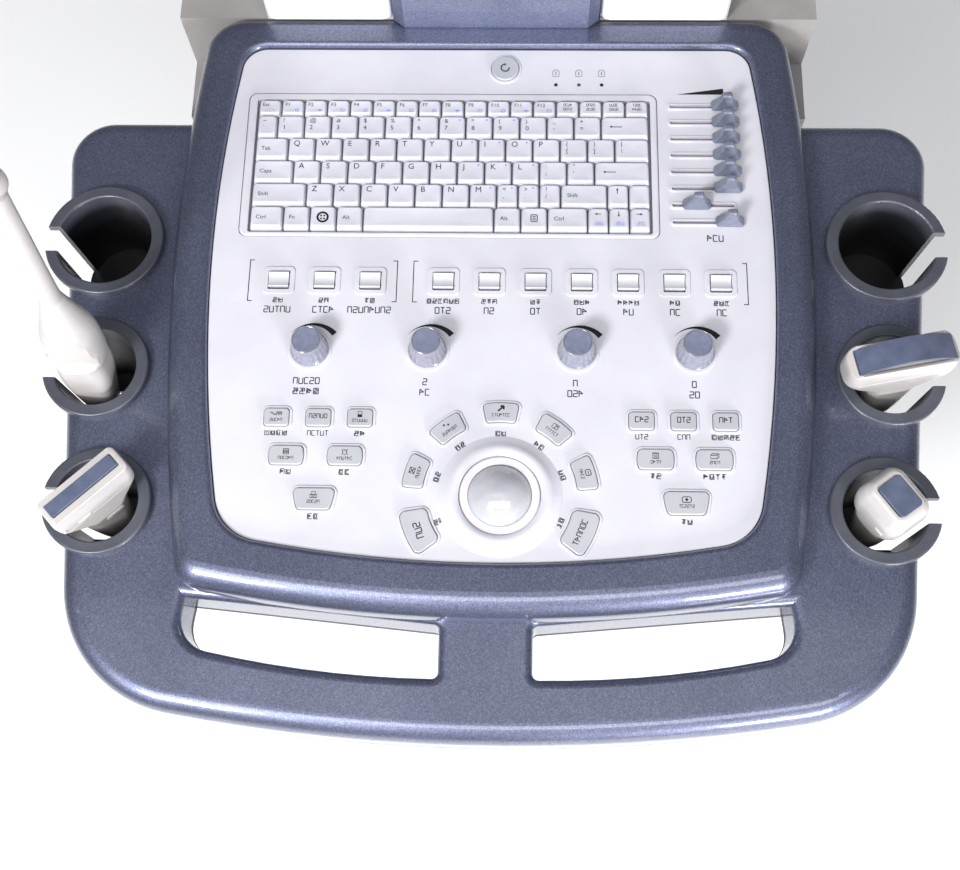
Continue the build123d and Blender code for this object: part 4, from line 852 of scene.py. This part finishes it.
def add_probe_marks():
    """Raised marks that tell a probe's sides apart."""
    for name, marks in PROBE_MARKS.items():
        mesh = bmesh.new()
        for place, size in marks:
            raised(mesh, name, place, size)
        piece(f"{name}_marks", mesh, [PROBE], name)


# -------------------- printed marks
GLYPHS = (((-1, -1), (1, -1), (1, 1), (-1, 1), (-1, -1)), ((1, 1), (-1, 1), (-1, -1), (1, -1)),
          ((-1, -1), (-1, 1), (1, 1), (1, -1)), ((-1, 1), (-1, -1), (1, -1), (1, 1)),
          ((-1, 1), (1, 1), (1, 0), (-1, 0), (-1, -1), (1, -1)), ((-1, -1), (-1, 1), (1, 0), (-1, 0)),
          ((-1, 1), (1, 1), (0, 1), (0, -1)))
GLYPH_WIDE, GLYPH_STROKE, GLYPH_PITCH = 0.3, 0.15, 0.86      # as shares of a character's height
DENSE_WIDE, DENSE_PITCH, DENSE_INNER = 0.4, 1.15, 0.55
LAYER_LIFT = 0.004         # keeps strokes that cross from sharing a face


def greek(mesh, x, y, count, tall, z=0.0, turn=0.0, finish=0, dense=False):
    """A row of greeked characters, tall millimetres high: open boxes and hooks that spell nothing."""
    wide = tall * (DENSE_WIDE if dense else GLYPH_WIDE)
    pitch = tall * (DENSE_PITCH if dense else GLYPH_PITCH)
    for i in range(count):
        shift = (i - (count - 1) / 2) * pitch
        for layer in range(2 if dense else 1):
            strokes = random.choice(GLYPHS)
            size = (1, DENSE_INNER)[layer]
            line = [(shift + u * wide * size, v * tall / 2 * size) for u, v in strokes]
            line = placed(line, x, y, turn)
            for start, end in zip(line, line[1:]):
                ribbon(mesh, [start, end], tall * GLYPH_STROKE, z + LAYER_LIFT * layer, finish)


PANEL_BELOW_FRAME = 1.0
KNOB_ARC_R = 17.9
KNOB_ARC_START, KNOB_ARC_SWEEP = 137, 101                    # degrees
KNOB_ARC_THIN, KNOB_ARC_GROWTH, KNOB_ARC_CURVE = 0.15, 3.9, 1.3
# Numbers of characters in the upper and the lower line of each label.
KNOB_LABELS = {"value_knob": (5, 4), "doppler_knob": (1, 2), "colour_knob": (1, 3), "gain_knob": (1, 2)}
KNOB_LABEL_DROPS = (22.4, 29.8)
PADDLE_LABELS = ((2, 5), (2, 4), (2, 8), (6, 3), (3, 2), (2, 2), (3, 2), (4, 2), (2, 2), (3, 2))
PADDLE_LABEL_DROPS = (14.7, 21.6)
PADDLE_GROUPS = ((1, 3), (4, 10))
BRACKET_TALL, BRACKET_HOOK, BRACKET_STROKE = 15.4, 3, 0.6
BRACKET_LEFT, BRACKET_RIGHT = 20.8, 18.2
# A minus sign asks for plain characters instead of dense ones.
KEY_LABELS = {"probe_mode_keys": (4, -5, 2), "report_keys": (2, 2), "print_key": (2,),
              "scan_mode_keys": (-3, -3, 5), "store_keys": (2, 4), "freeze_key": (2,)}
ARC_LABELS = (20, 54, 90, 128, 163, 204, -24)                # degrees round the ball
ARC_LABEL_R = 43.0
LAMP_XS = (44.0, 60.6, 77.0)
LAMP_Y, LOCK_UP = 79.8, 9.9
LOCK_CASE = ((-2.3, -2.8), (2.3, -2.8), (2.3, 1.0), (1.2, 2.6), (-1.2, 2.6), (-2.3, 1.0))


def knob_print(mesh, z):
    """A growing arc over each knob, and a label of two lines under it."""
    steps = 30
    for name, (upper, lower) in KNOB_LABELS.items():
        x, y, _ = box_mm(name)[2]
        line, widths = [], []
        for i in range(steps + 1):
            t = i / steps
            wide = KNOB_ARC_THIN + KNOB_ARC_GROWTH * t ** KNOB_ARC_CURVE
            line += arc(x, y, KNOB_ARC_R + wide / 2, KNOB_ARC_START - KNOB_ARC_SWEEP * t, 0, 1)[:1]
            widths.append(wide)
        ribbon(mesh, line, widths, z)
        greek(mesh, x - 1, y - KNOB_LABEL_DROPS[0], upper, 4.3, z)
        greek(mesh, x - 1, y - KNOB_LABEL_DROPS[1], lower, 4.0 if upper > 1 else 4.3, z, dense=upper > 1)


def paddle_print(mesh, z):
    """A label of two lines under each paddle, and brackets round the two groups."""
    for number, (small, large) in enumerate(PADDLE_LABELS, 1):
        x, y, _ = box_mm(f"paddle_{number}")[2]
        greek(mesh, x, y - PADDLE_LABEL_DROPS[0], small, 3.3, z, dense=True)
        greek(mesh, x, y - PADDLE_LABEL_DROPS[1], large, 4.4, z)
    for first, last in PADDLE_GROUPS:
        left, right = box_mm(f"paddle_{first}")[2], box_mm(f"paddle_{last}")[2]
        for side, x in ((1, left.x - BRACKET_LEFT), (-1, right.x + BRACKET_RIGHT)):
            top, bottom, half = left.y + BRACKET_TALL, left.y - BRACKET_TALL, BRACKET_STROKE / 2
            ribbon(mesh, [(x + side * BRACKET_HOOK, top), (x, top)], BRACKET_STROKE, z)
            ribbon(mesh, [(x, top + half), (x, bottom - half)], BRACKET_STROKE, z)
            ribbon(mesh, [(x + side * BRACKET_HOOK, bottom), (x, bottom)], BRACKET_STROKE, z)


def slider_print(mesh, z):
    """A wedge behind the depth sliders and a label in front of them."""
    first, last = box_mm("depth_slider_1"), box_mm("depth_slider_8")
    wedge_x = first[1].x - 10
    ribbon(mesh, [(wedge_x - 33, first[2].y + 10.5), (wedge_x, first[2].y + 13)], [0.1, 5], z)
    greek(mesh, wedge_x - 10, last[2].y - 12.0, 3, 4.6, z)


def push_key_print(mesh, z):
    """Labels under the push keys and inside the arc of keys round the ball."""
    for node, counts in KEY_LABELS.items():
        for (low, high), count in zip(solids_of(node), counts):
            greek(mesh, (low.x + high.x) / 2, low.y - 3.0, abs(count), 3.4, z, dense=count > 0)
    ball = box_mm("trackball")[2]
    for angle in ARC_LABELS:
        at = arc(ball.x, ball.y, ARC_LABEL_R, angle, 0, 1)[0]
        greek(mesh, *at, 2, 3.3, z, angle - 90 if angle < 200 else angle + 180, dense=True)


def panel_print():
    """Everything printed on the white panel; each lamp has a small lock over it."""
    mesh = bmesh.new()
    z = box_mm("keyboard_frame")[1].z - PANEL_BELOW_FRAME + INK_LIFT
    knob_print(mesh, z)
    paddle_print(mesh, z)
    slider_print(mesh, z)
    push_key_print(mesh, z)
    for x in LAMP_XS:
        ribbon(mesh, placed(LOCK_CASE, x, LAMP_Y + LOCK_UP, 0), 0.4, z, 1, closed=True)
        ribbon(mesh, placed([(0, 1.3), (0, -1.7)], x, LAMP_Y + LOCK_UP, 0), 0.55, z, 1)
    printed("panel_printing", mesh, ROOT, BLACK_INK, GREY_INK)


# -------------------- marks on the push keys
def stroke(*points, width=0.5, closed=False):
    """One line of an icon: its width, whether it closes, and its points in millimetres about the middle."""
    return width, closed, points


def box_stroke(wide, tall, x=0.0, y=0.0, width=0.5):
    """A box in an icon; wide and tall are half its sides."""
    return stroke(*scaled(SQUARE, wide, tall, x, y), width=width, closed=True)


def bar(half, y, width=0.45):
    """A level line in an icon."""
    return stroke((-half, y), (half, y), width=width)


def plus(x, y, half=0.8, width=0.55):
    """A plus sign in an icon."""
    return [stroke((x - half, y), (x + half, y), width=width),
            stroke((x, y - half), (x, y + half), width=width)]


WAVE = [stroke(*((-4 + 0.5 * i, 0.9 * math.sin(i * 0.9)) for i in range(8))), stroke((-0.2, -1.4), (0.8, 1.5)),
        stroke((1.2, 1.0), (3.8, 1.0)), *(stroke((1.4 + i, -1.2), (1.4 + i, 1.0)) for i in range(3))]
HALF_BOX = [box_stroke(1.3, 1.9, width=0.45), bar(1.2, -0.9, 1.7)]
STRIPED_BOX = [box_stroke(1.8, 1.8), bar(1.7, -0.8), bar(1.7, 0), bar(1.7, 0.8)]
FIGURE = [*(stroke((s * 1.9, 1.9), (s * 1.2, 0.8), (s * 1.2, -0.8), (s * 1.9, -1.9)) for s in (-1, 1)),
          stroke((-0.7, 1.7), (0, 1.0), (0.7, 1.7)), bar(0.6, -1.7, 0.5)]
PRINTER = [box_stroke(2.3, 1.0, 0, -0.7), box_stroke(1.4, 0.9, 0, 1.3, 0.45), bar(1.4, -0.7)]
DISK = [box_stroke(1.9, 1.9), box_stroke(1.0, 0.5, 0, -1.3, 0.45), box_stroke(1.2, 0.6, 0, 0.9, 0.4)]
FILM_BOX = [box_stroke(2.1, 1.1, -0.5, -0.5, 0.45), stroke((-2.6, 0.6), (-1.6, 1.7), (2.8, 1.7), width=0.45),
            stroke((1.6, 0.6), (2.8, 1.7), (2.8, -0.6), (1.6, -1.6), width=0.45)]
STAR = [stroke(*about(0, 0, 2.9, 1.9, 1.2, 3), closed=True),
        *(stroke((-1.1 * math.cos(a), -1.1 * math.sin(a)), (1.1 * math.cos(a), 1.1 * math.sin(a)))
          for a in (0, math.pi / 3, 2 * math.pi / 3))]
CROSSES = plus(-1.2, 0.9) + plus(1.4, -0.4)
SPLIT_BOX = [box_stroke(2.1, 1.6), stroke((0, -1.6), (0, 1.6), width=0.45),
             stroke((0.7, 0.6), (1.6, 0.6), width=0.9)]
CROSSED_BOX = [box_stroke(1.9, 1.7), stroke((-1.8, -1.6), (1.8, 1.6)), stroke((-1.8, 1.6), (1.8, -1.6))]
PAGE = [stroke(*about(0, 0, 2.0, 1.7, 0.8, 3), closed=True), bar(1.1, 0)]
BOLD_ARROW = [stroke((-1.9, -1.7), (0.9, 1.0), width=1.1), stroke((-0.4, 1.7), (1.9, 1.9), width=1.3),
              stroke((1.7, -0.4), (1.9, 1.9), width=1.3)]
# Each key's icon and the number of greeked characters under it.
KEY_ICONS = {"probe_mode_keys": ((WAVE, 5), (None, 5), (HALF_BOX, 6)),
             "report_keys": ((STRIPED_BOX, 6), (FIGURE, 6)), "print_key": ((PRINTER, 5),),
             "scan_mode_keys": ((None, 3),) * 3,
             "store_keys": ((DISK, 4), (FILM_BOX, 4)), "freeze_key": ((STAR, 6),)}
ARC_ICONS = {15.7: (PAGE, 4), 52.8: (SPLIT_BOX, 6), 90: (BOLD_ARROW, 7), 127.2: (CROSSES, 7),
             164.3: (CROSSED_BOX, 5)}
ARC_KEY_R = 57.4


def key_mark(mesh, icon, count, x, y, z, turn=0.0):
    """An icon with a greeked word under it, or larger greeked characters alone."""
    if icon is None:
        greek(mesh, x, y + 0.8, count, 3.6 if count < 4 else 2.9, z, turn)
        return
    up = placed([(0, 2.2)], x, y, turn)[0]
    for width, closed, points in icon:
        ribbon(mesh, placed(points, *up, turn), width, z, closed=closed)
    greek(mesh, *placed([(0, -2.1)], x, y, turn)[0], count, 2.0, z, turn)


def add_key_marks():
    """Printing on the push keys; each sheet of marks rides on its keys."""
    for node, icons in KEY_ICONS.items():
        mesh = bmesh.new()
        for (low, high), (icon, count) in zip(solids_of(node), icons):
            key_mark(mesh, icon, count, (low.x + high.x) / 2, (low.y + high.y) / 2, high.z + INK_LIFT)
        printed(f"{node}_marks", mesh, node, BLACK_INK)
    ball, z = box_mm("trackball")[2], box_mm("arc_keys")[1].z + INK_LIFT
    mesh = bmesh.new()
    for angle, (icon, count) in ARC_ICONS.items():
        at = arc(ball.x, ball.y, ARC_KEY_R, angle, 0, 1)[0]
        key_mark(mesh, icon, count, *at, z, angle - 90)
    printed("arc_keys_marks", mesh, "arc_keys", BLACK_INK)
    for node, turn, count in (("set_key", -70, 3), ("cancel_key", 68, 6)):
        mesh = bmesh.new()
        x, y, _ = box_mm(node)[2]
        greek(mesh, x, y, count, 4.4 if count < 4 else 3.6, z, turn)
        printed(f"{node}_marks", mesh, node, BLACK_INK)
    low, high, centre = box_mm("power_button")
    mesh = bmesh.new()
    ribbon(mesh, arc(centre.x, centre.y, 2.9, 95, 365, 30), 1.1, high.z + INK_LIFT)
    slab(mesh, scaled(((1.0, 2.9), (-0.4, 4.2), (-0.4, 1.6)), 1, 1, centre.x, centre.y), high.z + INK_LIFT)
    printed("power_button_mark", mesh, "power_button", GREY_INK)


# -------------------- lamps and caps
SCREW_CAPS = ((-155.7, 146.5), (161.0, 147.3))


def dome(mesh, x, y, z, radius, height, finish=0, skirt=0.3):
    """A low round lens or cap."""
    rings = [(radius, z - skirt), (radius, z + 0.2 * height)]
    for i in range(1, 8):
        a = math.radians(12 * i)
        rings.append((radius * math.cos(a), z + height * (0.2 + 0.8 * math.sin(a))))
    loft(mesh, [[(*p, h) for p in arc(x, y, r, 0, 350, 35)] for r, h in rings], finish=finish)


def add_lamps():
    """Three signal lamps behind the keyboard; the middle one glows faintly."""
    mesh = bmesh.new()
    z = box_mm("keyboard_frame")[1].z - PANEL_BELOW_FRAME
    for number, x in enumerate(LAMP_XS):
        dome(mesh, x, LAMP_Y, z, 1.35, 0.5, int(number == 1))
    piece("signal_lamps", mesh, [LAMP_OFF, LAMP_ON], ROOT)


def add_screw_caps():
    """Plugs over the screws of the white neck covers."""
    mesh = bmesh.new()
    top = box_mm("neck_covers")[1].z
    for x, y in SCREW_CAPS:
        dome(mesh, x, y, top, 4.0, 0.7)
    piece("neck_screw_caps", mesh, [COVER], ROOT)


# -------------------- studio and finish
FLOOR_Z = -0.45            # metres, as are the lights' places and sizes
FLOOR_HALF = 6
AIM = (0, -0.1, 0.1)
LIGHTS = (("left_window", (-0.95, -1.45, 1.45), (0.5, 0.4), 44),
          ("right_window", (0.95, -2.0, 0.5), (0.6, 0.4), 40),
          ("front_sky", (0, -1.15, 2.0), (2.6, 0.7), 31), ("overhead", (0, -0.1, 2.6), (2.2, 0.6), 4))
SKY_TINT, SKY_STRENGTH = (0.9, 0.92, 1.0, 1), 0.22


def add_studio():
    """A pale floor well below the console, and soft light from both sides of the operator."""
    floor = bmesh.new()
    bmesh.ops.create_grid(floor, x_segments=4, y_segments=4, size=FLOOR_HALF)
    data = bpy.data.meshes.new("floor")
    floor.to_mesh(data)
    floor.free()
    plane = bpy.data.objects.new("floor", data)
    plane.location.z = FLOOR_Z
    paper = Finish("floor_paper", Roughness=0.9)
    paper.mottle("#F4F4F5", "#FAFAFA", 400)
    data.materials.append(paper.material)
    scene.collection.objects.link(plane)
    for name, place, size, power in LIGHTS:
        data = bpy.data.lights.new(name, "AREA")
        data.shape = "RECTANGLE"
        data.size, data.size_y = size
        data.energy = power
        light = bpy.data.objects.new(name, data)
        light.location = place
        light.rotation_euler = (Vector(AIM) - Vector(place)).to_track_quat("-Z", "Y").to_euler()
        scene.collection.objects.link(light)
    world = bpy.data.worlds.new("studio")
    world.use_nodes = True
    sky = world.node_tree.nodes["Background"].inputs
    sky["Color"].default_value = SKY_TINT
    sky["Strength"].default_value = SKY_STRENGTH
    scene.world = world
    scene.view_settings.view_transform = "Standard"


add_camera()
finish_nodes()
add_keyboard()
add_knobs()
add_sliders()
add_probes()
panel_print()
add_key_marks()
add_lamps()
add_screw_caps()
add_studio()
